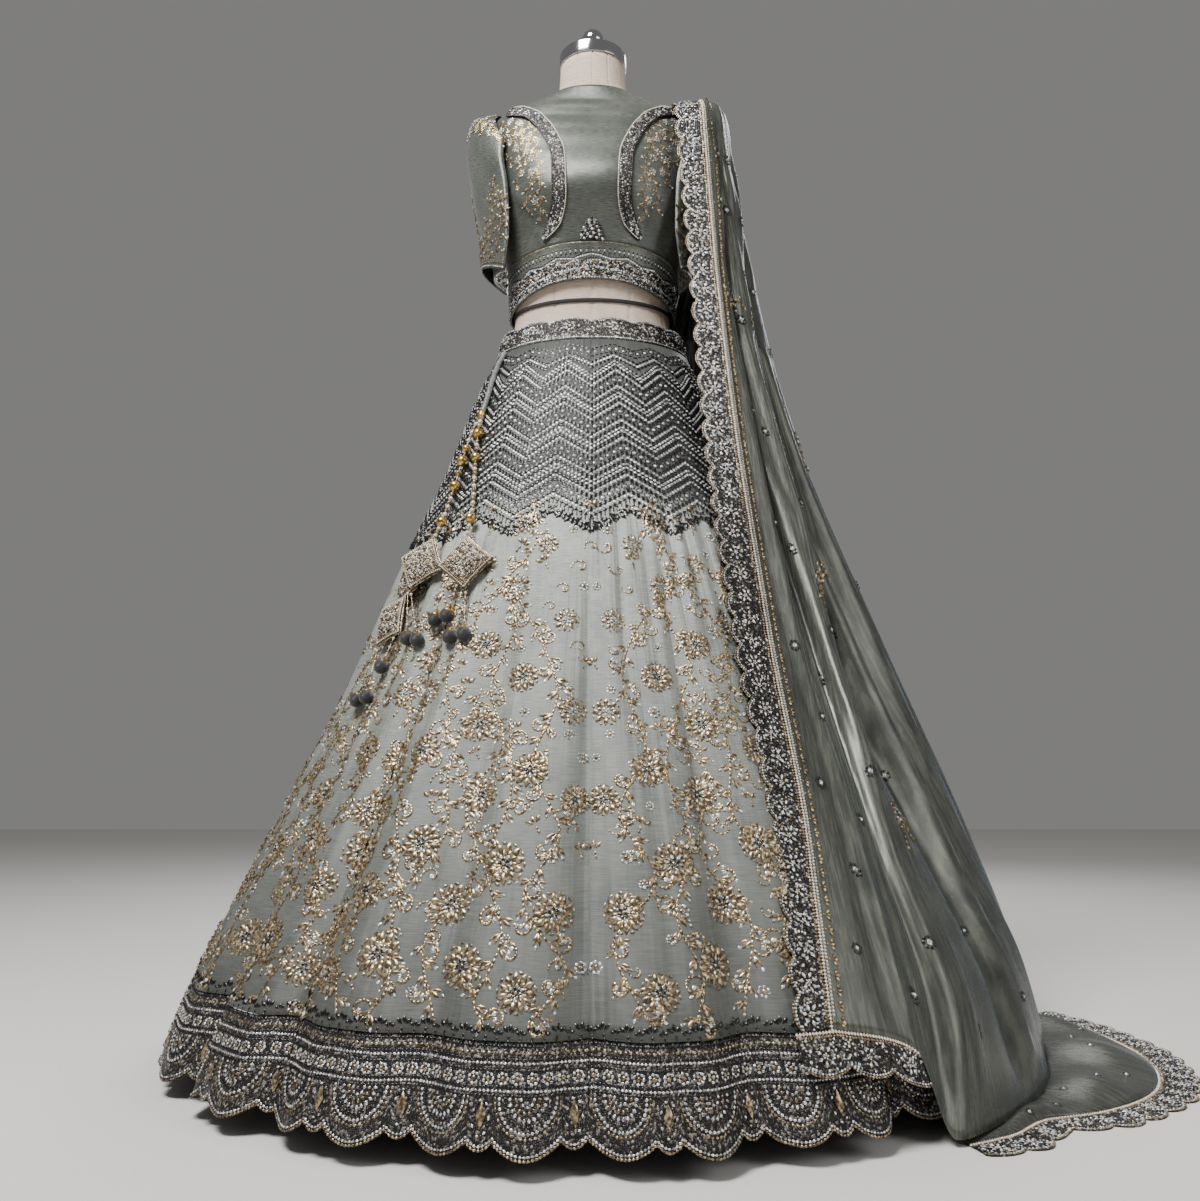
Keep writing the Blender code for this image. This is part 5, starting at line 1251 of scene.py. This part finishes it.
def leafSpots(cloth, line, spacing, angle, size, start=0):  # places to both sides along a line
    _, surface, step = cloth
    fine = through(line, 200)
    run = lengthsAlong(surface(fine[:, 0], fine[:, 1]))
    at = np.arange(spacing * 0.5, run[-1], spacing)
    u, v = np.interp(at, run, fine[:, 0]), np.interp(at, run, fine[:, 1])
    du, dv = np.interp(at + 0.002, run, fine[:, 0]) - u, np.interp(at + 0.002, run, fine[:, 1]) - v
    _, _, _, perU, perV = frameOn(surface, u, v, step)
    hand = np.where((np.arange(len(at)) + start) % 2 == 0, 1, -1)
    return tableOf(u, v, np.arctan2(dv * perV, du * perU) + hand * angle, size)


rng = np.random.default_rng(7)
vineBag, fillBag = [], []
vineCloth, groundCloth = (vineBag, onSkirt, skirtStep), (fillBag, onSkirt, skirtStep)
for k in range(lehenga["kalis"]):
    mirror = -1 if k % 2 else 1
    wander = rng.uniform(-0.015, 0.015, 2)

    def spotAt(q, z):
        return lehenga["kaliTurn"] * (k + 0.5 + mirror * q), z
    for n, stem in enumerate(jaal["stems"]):
        line = np.array([spotAt(q + wander[0], z + (wander[1] if 0 < i < len(stem) - 1 else 0))
                         for i, (q, z) in enumerate(stem)])
        sewLine(vineCloth, line, 0.0060, 0.0074, 0.0036, copper)
        spots = leafSpots(vineCloth, line, 0.0165, 0.85, 1.0, n)
        spots[:, 3] = rng.uniform(0.8, 1.25, len(spots))
        sewMotif(vineCloth, spots[spots[:, 1] > 0.135], leafMotif)
        spots = leafSpots(vineCloth, line, 0.044, 0.95, 1.0, n + 1)
        sewMotif(vineCloth, spots[::2], scrollMotif(0.0150, 1, copper))
        sewMotif(vineCloth, spots[1::2], scrollMotif(0.0150, -1, copper))
        spots[:, 2] += 0.5
        spots[:, 3] = 1.3
        sewMotif(vineCloth, spots, budMotif)
    blooms = np.array([(*spotAt(q, z), rng.uniform(0, 6), r * 0.85 + 0.007) for q, z, r in jaal["flowers"]])
    large = blooms[:, 3] > 0.0200
    sewMotif(vineCloth, blooms[~large], unitFlower, 0.0004)
    sewMotif(vineCloth, blooms[large], unitBloom, 0.0004)
    # small sprigs and rosettes in what is left of the ground, staggered
    fill = []
    for r, z in enumerate(np.arange(0.750, 0.14, -0.028)):
        across = float(np.linalg.norm(onSkirt(np.array(36.0), np.array(z)) - onSkirt(np.array(0.0), np.array(z))))
        count = max(3, int(across / 0.030))
        for j in range(count):
            q = (j + 0.5 * (r % 2) + 0.25) / count - 0.5
            if all(math.hypot((q - a) * across, z - b) > c + 0.013 for a, b, c in jaal["flowers"]):
                fill.append((*spotAt(q, z), rng.uniform(-0.6, 0.6), 1.0))
    fill = np.array(fill)
    fill[:, 3] = rng.uniform(0.8, 1.2, len(fill))
    sewMotif(groundCloth, fill[::3], sprigMotif(0.023, copper, copper))
    sewMotif(groundCloth, fill[1::3] * (1, 1, 1, 0.0074), unitRosette)
    sewMotif(groundCloth, fill[2::3], scrollMotif(0.0110, 1 if k % 2 else -1, copper))
    if k in (4, 9):
        stonePiece("lehengaVines%d" % (1 if k == 4 else 2), vineBag)
        vineBag.clear()

# the yoke's chevron rows
yoke = {"top": 1.0624, "pitch": (1.0624 - 0.778) / 9, "drop": 0.032, "turn": 22.5}  # sixteen points round
yokeBag = []
yokeCloth = (yokeBag, onSkirt, skirtStep)
for k in range(16):
    shares = np.linspace(0.0, 1.0, 41)

    def chevron(row, down=0.0):
        height = yoke["top"] - yoke["pitch"] * row - down
        height = height + yoke["drop"] * (2 * np.minimum(shares, 1 - shares) - 1) * min(1.0, row / 1.5)
        return np.column_stack([yoke["turn"] * (k + shares), height])
    for row in range(1, 10):
        sewLine(yokeCloth, chevron(row), 0.0060, 0.0054, 0.0048, silver)
        for down in (-0.0052, 0.0052):  # rows of cut-glass bugles
            sewLine(yokeCloth, chevron(row, down), 0.0080, 0.0084, 0.0056, dark)
    for row in range(9):
        middle = chevron(row + 0.5)
        width = lengthsAlong(onSkirt(middle[:, 0], middle[:, 1]))[-1]
        if row % 2:
            for down in (-0.0032, 0.0032):  # two rows of small beads
                sewLine(yokeCloth, chevron(row + 0.5, down), 0.0066, 0.0052, 0.0048, silver, 0.8)
            for down in (-0.0066, 0.0, 0.0066):
                sewLine(yokeCloth, chevron(row + 0.5, down), 0.0080, 0.0084, 0.0038, dark)
            continue
        count = max(4, int(round(width / 0.0125)))
        at = np.linspace(0, 40, count * 2 + 1)[1::2]
        spots = tableOf(*(np.interp(at, range(41), side) for side in middle.T), 0, 0.0044)
        sewMotif(yokeCloth, spots, ringMotif(1.0, dark, silver, 7))
        for down in (-0.0076, 0.0076):
            sewLine(yokeCloth, chevron(row + 0.5, down), 0.0080, 0.0084, 0.0034, dark)
    edge = chevron(9, 0.009)
    spots = leafSpots(yokeCloth, edge[::2], 0.0070, 0.0, 1.0)
    spots[:, 2] = math.pi
    spots[:, 3] = np.where(np.arange(len(spots)) % 2, 0.85, 1.25)
    sewMotif(yokeCloth, spots, sprigMotif(0.021, dark, dark))
stonePiece("lehengaYokeBeads", yokeBag)

# the waistband's scallops: an edge line, a second line and a dense fill
def waistSurface(u, v):
    return skirtSurface(u, lehenga["waistFoot"] + (waistTopAt(u) - lehenga["waistFoot"]) * v, 0.0028, False)


def filledBand(cloth, width, height, top, finishes, pitch=0.0042, low=0.08, seed=3):
    draw = np.random.default_rng(seed)
    rows, columns = max(2, int(height / pitch)), int(width / pitch)
    r, c = np.meshgrid(np.arange(rows), np.arange(columns), indexing="ij")
    u = (c + 0.5 * (r % 2) + draw.uniform(-0.2, 0.2, r.shape)) / columns * top
    v = low + (r + 0.5 + draw.uniform(-0.2, 0.2, r.shape)) / rows * (0.92 - low)
    count = u.size
    finish = draw.choice([f for f, _ in finishes], count, p=[p for _, p in finishes])
    for kind in set(finish.tolist()):
        mask = finish == kind
        grow = draw.uniform(0.8, 1.15, mask.sum()) if kind == dark else draw.uniform(0.75, 1.35, mask.sum())
        spots = np.column_stack([u.ravel()[mask], v.ravel()[mask], draw.uniform(0, 3.14, mask.sum()), grow])
        sewMotif(cloth, spots, [(0, 0, 0, pitch * 0.85, pitch * 0.66, kind)])


gunmetalMix = ((dark, 0.64), (silver, 0.28), (copper, 0.06), (pearl, 0.02))
waistBag = []
waistCloth = (waistBag, waistSurface, (0.2, 0.01))
turnLine = np.linspace(0, 360, 1401)[:-1]
for v, finish in ((0.97, silver), (0.86, dark), (0.06, dark), (0.14, silver)):
    sewLine(waistCloth, tableOf(turnLine, v), 0.0034, 0.0034, 0.0026, finish)
filledBand(waistCloth, 0.86, 0.038, 360.0, gunmetalMix, 0.0038, 0.16)
scallops = lehenga["waistScallops"]
scallopSpots = [(360 / scallops * (k + 0.5), 0.62, 0, 0.0085) for k in range(scallops)]
sewMotif(waistCloth, scallopSpots, unitRosette, 0.0012)
stonePiece("waistbandBeads", waistBag)

# the hem border: sprigs, bead lines, rings, half-moons and the scalloped edge
hemBag = []
hemCloth = (hemBag, hemSurface, skirtStep)
hemLine = np.linspace(0, 360, 2161)[:-1]


def hemRow(height, spacing, length, width, finish):
    sewLine(hemCloth, tableOf(hemLine, height), spacing, length, width, finish)


for height, finish in ((.1195, dark), (.1080, dark), (.1045, silver), (.0985, dark), (.0840, dark), (.0805, silver),
                       (.0765, dark)):
    hemRow(height, 0.0042, 0.0040, 0.0030, finish)
hemRow(.1135, 0.0060, 0.0046, 0.0034, copper)
sewMotif(hemCloth, [(t, .0912, 0, 0.0050) for t in np.arange(0.6, 360, 1.5)], ringMotif(1.0, silver, copper, 7))
arc = []
for radius, finish, length, width in (
        (0.0335, copper, .0044, .0028), (0.0290, silver, .0040, .0036), (0.0235, dark, .0040, .0032),
        (0.0180, silver, .0048, .0034), (0.0120, copper, .0046, .0034), (0.0065, silver, .0040, .0030)):
    count = int(math.pi * radius / (length * 1.05)) + 1
    for a in np.linspace(math.pi, 2 * math.pi, count):
        tangent = a + (1.57 if radius > 0.02 or radius < 0.010 else 0)
        arc.append((math.cos(a) * radius, math.sin(a) * radius * 1.10, tangent, length, width, finish))
moons = [(hemPitch * (p + 0.36), 0.0740, 0, 1.0) for p in range(lehenga["hemPairs"])]
sewMotif(hemCloth, moons, arc)
leafBetween = [(0, -0.016, 1.57, 0.026, 0.0105, copper), (0, -0.016, 1.57, 0.014, 0.0050, silver)]
leafBetween += [(math.cos(a) * 0.0082, -0.018 + math.sin(a) * 0.017, a + 1.57, 0.0040, 0.0026,
                 dark if k % 2 else silver)
                for k, a in enumerate(np.linspace(0, 2 * math.pi, 14, endpoint=False))]
sewMotif(hemCloth, [(hemPitch * (p + 0.86), 0.0735, 0, 1.0) for p in range(lehenga["hemPairs"])], leafBetween, 0.0006)
for up, finish in ((0.0022, copper), (0.0056, silver)):
    sewLine(hemCloth, tableOf(hemLine, lehenga["hem"] + 0.015 - hemScallop(hemLine) + up), 0.0042, 0.0042, 0.0028,
            finish)
sprigs = [(t, 0.1235, math.sin(t * 5) * 0.2, 1.0 if k % 2 else 0.7) for k, t in enumerate(np.arange(0.5, 360, 1.25))]
sewMotif(groundCloth, sprigs, sprigMotif(0.020, dark, dark))
stonePiece("hemBorderBeads", hemBag)
stonePiece("lehengaSprigs", fillBag)
print("lehenga embroidered")

# embroidery on the dupatta

borderBag, floorBag = [], []
for bag, grid, pitch, seed in (
        (borderBag, borderFront, .042, 11), (borderBag, borderFar, .050, 12), (borderBag, borderHanging, .056, 13),
        (floorBag, borderFloor, .052, 14), (floorBag, borderBack, .052, 15)):
    out = gridNormals(grid)
    seen = (0, 0, 1) if grid is borderFloor else (0, 1, 0) if grid is borderBack else (0.3, -1, 0)
    if (out * seen).sum() > 0:
        surface = gridSurface(grid + out * (dupatta["net"] + 0.0004))
    else:  # the net's inner face shows here
        surface = gridSurface((grid - out * 0.0005)[:, ::-1])
    netCloth = (bag, surface, (0.002, 0.01))
    total = lengthsAlong(grid[-1])[-1]
    along = np.linspace(0, 1, 401)
    for v, finish, length, width in ((0.965, pearl, .0044, .0044), (0.875, copper, .0042, .0040),
                                     (0.015, copper, .0040, .0030), (0.075, silver, .0038, .0028)):
        sewLine(netCloth, tableOf(along, v), 0.0040, length, width, finish)
    filledBand(netCloth, total, dupatta["border"], 1.0, gunmetalMix, 0.0042, 0.10, seed)
    count = max(1, round(total / pitch))
    spots = tableOf((np.arange(count) + 0.5) / count, 0.46, 0, 0.0125)
    sewMotif(netCloth, spots, flowerMotif(1.0, 7, silver, dark, pearl), 0.0012)
stonePiece("dupattaBorderBeads", borderBag)
stonePiece("dupattaFloorBeads", floorBag)

fieldBag = []
trefoil = sprigMotif(0.0175, copper, copper)
for grid in (fallGrid, backGrid):
    surface = gridSurface(grid + gridNormals(grid) * (dupatta["satin"] + 0.0007))
    fieldCloth = (fieldBag, surface, (0.004, 0.004))
    down = lengthsAlong(grid[:, 0])[-1]
    count = int(down / 0.0165)
    for edge, turn in ((0.004, -math.pi / 2), (0.996, math.pi / 2)):
        v = (np.arange(count) + 0.5) / count
        sewMotif(fieldCloth, tableOf(edge, v, turn, 1.0), trefoil)
        sewLine(fieldCloth, tableOf(edge, np.linspace(0.01, 0.99, 200)), 0.0042, .0036, .0028, pearl)
    dots = [(u, v, 0.4, 0.0088 if (i + j) % 3 else 0.0072) for i, v in enumerate(np.arange(0.06, 0.97, 0.066))
            for j, u in enumerate(np.array((0.13, 0.30, 0.47, 0.64, 0.81)) + (0.085 if i % 2 else 0))]
    sewMotif(fieldCloth, dots, ringMotif(0.8, dark, silver, 7))
    buttis = [(u, v, 0.2 * math.sin(9 * u), 1.3)
              for u, v in (dupatta["buttis"] if grid is fallGrid else ((.3, .1), (.7, .12), (.5, .3)))]
    branch = flowerMotif(0.0170, 9, copper, silver, dark)
    for hand in (-1, 1):
        branch += [(hand * (0.014 + 0.0044 * t), -0.006 - 0.0085 * t, hand * -0.9, 0.0110, 0.0052, copper)
                   for t in range(3)]
        branch += [(hand * (0.021 + 0.0020 * t), -0.016 + 0.0090 * t, 1.57, 0.0080, 0.0042, copper) for t in range(3)]
    branch += [(0, -0.021 - 0.0056 * t, 1.57, 0.0058, 0.0034, copper) for t in range(4)]
    sewMotif(fieldCloth, buttis, branch)
surface = gridSurface(trainGrid + gridNormals(trainGrid) * dupatta["satin"])
trainCloth = (fieldBag, surface, (0.004, 0.02))
sewMotif(trainCloth, [(u, 0.45 + 0.2 * math.sin(20 * u), 0, 0.006) for u in np.arange(0.2, 0.96, 0.09)],
         ringMotif(0.8, dark, silver, 7))
stonePiece("dupattaFieldBeads", fieldBag)
print("dupatta embroidered")

# embroidery on the choli

choliBag = []
choliStep = (0.4, 0.001)


def onCholi(azimuth, height):
    return choliSurface(azimuth, height, choli["silk"] + 0.0005)


def onTrim(azimuth, height):
    return choliSurface(azimuth, height, choli["trimLift"] + choli["trim"])


chestCloth, trimCloth = (choliBag, onCholi, choliStep), (choliBag, onTrim, choliStep)


def seenLine(points):  # (side, height) as seen from the front to (azimuth, height)
    points = np.asarray(points, float)
    return np.column_stack([azimuthOf(points[:, 0], points[:, 1]), points[:, 1]])


chestVines = (
    ((.156, 1.440), (.138, 1.428), (.120, 1.414)),
    ((.108, 1.455), (.114, 1.430), (.106, 1.405), (.116, 1.385)),
    ((.152, 1.470), (.128, 1.440), (.106, 1.418), (.090, 1.392), (.082, 1.358), (.080, 1.320), (.078, 1.270)),
    ((.122, 1.432), (.140, 1.405), (.128, 1.380), (.112, 1.372)), ((.090, 1.392), (.110, 1.362), (.118, 1.335)),
    ((.098, 1.402), (.092, 1.430), (.104, 1.446)), ((.082, 1.350), (.098, 1.320), (.100, 1.290)),
    ((.140, 1.454), (.154, 1.430), (.150, 1.404)))
for side in (1, -1):
    for n, vine in enumerate(chestVines):
        line = seenLine(np.array(vine) * (side, 1))
        sewLine(chestCloth, line, 0.0042, 0.0044, 0.0022, copper)
        spots = leafSpots(chestCloth, line, 0.0105, 0.8, 0.85, n)
        gilt = [(a, b, c, d, e, gold if f == copper else f) for a, b, c, d, e, f in budMotif]
        upper = spots[:, 1] > 1.335
        sewMotif(chestCloth, spots[upper], gilt)
        sewMotif(chestCloth, spots[~upper], leafMotif)
    drops = seenLine([(side * x, z) for x, z in (
        (.132, 1.462), (.118, 1.452), (.146, 1.448), (.112, 1.428), (.132, 1.418), (.146, 1.422), (.100, 1.412),
        (.120, 1.400), (.136, 1.394), (.102, 1.386), (.116, 1.376), (.094, 1.370), (.108, 1.350), (.092, 1.345),
        (.088, 1.405), (.086, 1.300))])
    sewMotif(chestCloth, tableOf(*drops.T, rng.uniform(0, 3, len(drops)), 0.0074),
             flowerMotif(1.0, 6, silver, gold, silver), 0.0006)

    # the lapel: piping on its inner edge, a row of dark stones on the other, a dark fill
    def lapelSurface(u, v, hand=side):
        at = np.clip(u, 0, 1) * 60
        spot, lean = (np.stack([np.interp(at, range(61), rows[:, k]) for k in range(2)], -1)
                      for rows in (lapelLine, lapelAcross * lapelTaper[:, None]))
        spot = spot + lean * ((v - 0.5) * choli["lapel"])[..., None]
        grid = onTrim(azimuthOf(spot[..., 0], spot[..., 1]), spot[..., 1])
        return grid * (hand, 1, 1)

    bag = []
    lapelCloth = (bag, lapelSurface, (0.01, 0.04))
    for v, finish, size in ((0.0, pearl, .0032), (0.97, dark, .0036)):
        sewLine(lapelCloth, tableOf(np.linspace(0.01, 0.98, 80), v), size, size, size * 0.75, finish)
    filledBand(lapelCloth, 0.29, choli["lapel"], 1.0, ((dark, 0.62), (silver, 0.35), (copper, 0.03)), 0.0040, 0.06, 41)
    if side > 0:  # its columns run the other way round there
        bag = [(p, -n, a, l, w, f) for p, n, a, l, w, f in bag]
    for p, n, a, l, w, f in bag:
        choliBag.append((p, np.where(n[:, 1:2] > 0, -n, n), a, l, w, f))
# the pointed motif in the middle, the band's rows and its hem
for k, (height, half) in enumerate(((1.2345, .0165), (1.2405, .0160), (1.2465, .0150), (1.2525, .0125),
                                    (1.2585, .0090), (1.264, .0045))):
    line = seenLine([(x, height + 0.004 * (1 - abs(x) / half)) for x in np.linspace(-half, half, 9)])
    sewLine(trimCloth, line, 0.0052, 0.0052, 0.0050, silver)
    part = choliBag.pop()
    choliBag.append(part[:5] + (np.where((np.arange(len(part[5])) + k) % 2, silver, dark),))
for middle in (0, 180):
    azimuths = middle + np.linspace(-88, 88, 401)

    def bandSurface(u, v):
        top, hem = bandTopAt(u), hemAt(u)
        return choliSurface(u, hem + (top - hem) * v, choli["band"] + 0.0004)

    bandCloth = (choliBag, bandSurface, (0.4, 0.02))
    wave = np.abs(((azimuths - middle) / 22 + 0.5) % 1 - 0.5) * 2  # points that rise at the middle
    for low, swing, finish, length, width in ((0.975, 0, copper, .0038, .0022), (0.52, 0.10, dark, .0036, .0030),
                                              (0.46, 0.10, silver, .0044, .0034), (0.38, 0.10, dark, .0036, .0030),
                                              (0.31, 0.08, copper, .0040, .0030), (0.25, 0.06, dark, .0036, .0030),
                                              (0.19, 0.03, silver, .0046, .0036), (0.12, 0, dark, .0036, .0030),
                                              (0.04, 0, silver, .0038, .0026)):
        rise = 0.10 * np.maximum(0, 1 - np.abs(azimuths - middle) / 40) * (0.1 < low < 0.9 and middle == 0)
        line = np.column_stack([azimuths, low + swing * (1 - wave) + rise])
        sewLine(bandCloth, line, 0.0041, length, width, finish)
    beads = np.random.default_rng(21)
    many = 2600
    u, v = beads.uniform(-88, 88, many), beads.uniform(0.03, 0.50, many)
    for kind, part in ((dark, slice(0, 1500)), (silver, slice(1500, 2300)), (copper, slice(2300, many))):
        spots = tableOf(middle + u[part], v[part], u[part], 1.0)
        sewMotif(bandCloth, spots, [(0, 0, 0, 0.0044, 0.0036, kind)], -0.0003)
    strokes = np.arange(-86, 87, 3.2)
    for up in range(3):
        spots = tableOf(middle + strokes, 0.70 + 0.055 * up, 1.57, 1.0)
        sewMotif(bandCloth, spots, [(0, 0, 0, 0.0046, 0.0028, dark if up % 2 == 0 else silver)])
stonePiece("choliBeads", choliBag)

sleeveBag = []
for side in (1, -1):
    grid = sleeveGrid(side)
    raised = grid + gridNormals(np.concatenate([grid, grid[:, :1]], 1))[:, :-1] * (choli["silk"] + 0.0007)
    raised = np.concatenate([raised, raised[:, :1]], 1)
    surface = gridSurface(raised)
    sleeveCloth = (sleeveBag, surface, (0.01, 0.01))
    for j in range(26):  # copper sprays that climb from the cuff
        u = (j + 0.5) / 26
        top = 0.30 + 0.13 * math.sin(5.3 * j)
        line = np.column_stack([u + 0.014 * np.sin(np.linspace(0, 5, 8) + j), np.linspace(0.03, top, 8)])
        sewLine(sleeveCloth, line, 0.0042, 0.0042, 0.0022, copper)
        sewMotif(sleeveCloth, leafSpots(sleeveCloth, line, 0.0105, 0.75, 0.8, j), leafMotif)
        line = np.column_stack([u + 0.016 * np.sin(np.linspace(0, 4, 8) + j * 2),
                                np.linspace(0.98, 0.70 + 0.05 * math.sin(3 * j), 8)])
        sewLine(sleeveCloth, line, 0.0044, 0.0044, 0.0022, gold)
        sewMotif(sleeveCloth, leafSpots(sleeveCloth, line, 0.0110, 0.8, 0.95, j), gilt)
    blooms = [((j + 0.5 * (i % 2)) / 15 % 1, v, j, 0.0072)
              for i, v in enumerate((0.95, 0.89, 0.83, 0.77, 0.71)) for j in range(15)]
    sewMotif(sleeveCloth, blooms, flowerMotif(1.0, 6, silver, gold, silver), 0.0006)
    ring = np.linspace(0.002, 0.998, 200)
    for v, finish in ((0.012, silver), (0.030, copper)):
        sewLine(sleeveCloth, tableOf(ring, v), 0.0042, 0.0040, 0.0028, finish)
stonePiece("sleeveBeads", sleeveBag)
print("choli embroidered")

# the flat cut of what shows of each cloth piece: width, length, how it is held, what it rests on, area if shaped
cutSizes = {
    "waistTape": (0.010, 0.70, "stretched", ["formTorso"], 0.0044),
    "choliFront": (0.44, 0.36, "draped", ["formTorso"], 0.120),
    "choliBack": (0.44, 0.36, "draped", ["formTorso"], 0.120),
    "choliBandFront": (0.43, 0.062, "draped", ["formTorso"], None),
    "choliBandBack": (0.40, 0.075, "draped", ["formTorso"], None),
    "sleeveLeft": (0.40, 0.26, "hung", ["choliFront"], None),
    "sleeveRight": (0.40, 0.26, "hung", ["choliFront"], None),
    "lapelLeft": (0.021, 0.33, "laid", ["choliFront"], None),
    "lapelRight": (0.021, 0.33, "laid", ["choliFront"], None),
    "choliCentreMotif": (0.038, 0.035, "laid", ["choliFront"], 0.00103),
    "lehengaSkirt": (3.75, 1.03, "hung", ["formTorso"], 2.35),
    "lehengaWaistband": (0.83, 0.040, "stretched", ["formTorso"], None),
    "lehengaHemBorder": (3.75, 0.102, "hung", ["lehengaSkirt"], None),
    "dupattaFrontFall": (0.52, 1.60, "draped", ["choliFront", "lehengaSkirt"], None),
    "dupattaBorderFront": (0.046, 1.62, "draped", ["choliFront", "lehengaSkirt"], None),
    "dupattaBorderFar": (0.046, 1.50, "draped", ["dupattaFrontFall"], None),
    "dupattaBorderHanging": (0.046, 0.16, "draped", ["dupattaFrontFall"], None),
    "dupattaTrain": (0.90, 0.10, "laid", ["dupattaFrontFall"], None),
    "dupattaBorderFloor": (0.046, 0.98, "laid", ["dupattaTrain"], None),
    "dupattaBackFall": (0.14, 0.80, "hung", ["choliBack"], None),
    "dupattaBorderBack": (0.046, 1.00, "hung", ["dupattaBackFall"], None)}
for name, (width, length, held, below, area) in cutSizes.items():
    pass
print("sheets declared", len(cutSizes), "of", len(areas))

size = {"cad": [list(map(float, corner)) for corner in cadBox],
        "visual": [list(map(float, corner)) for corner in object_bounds()]}
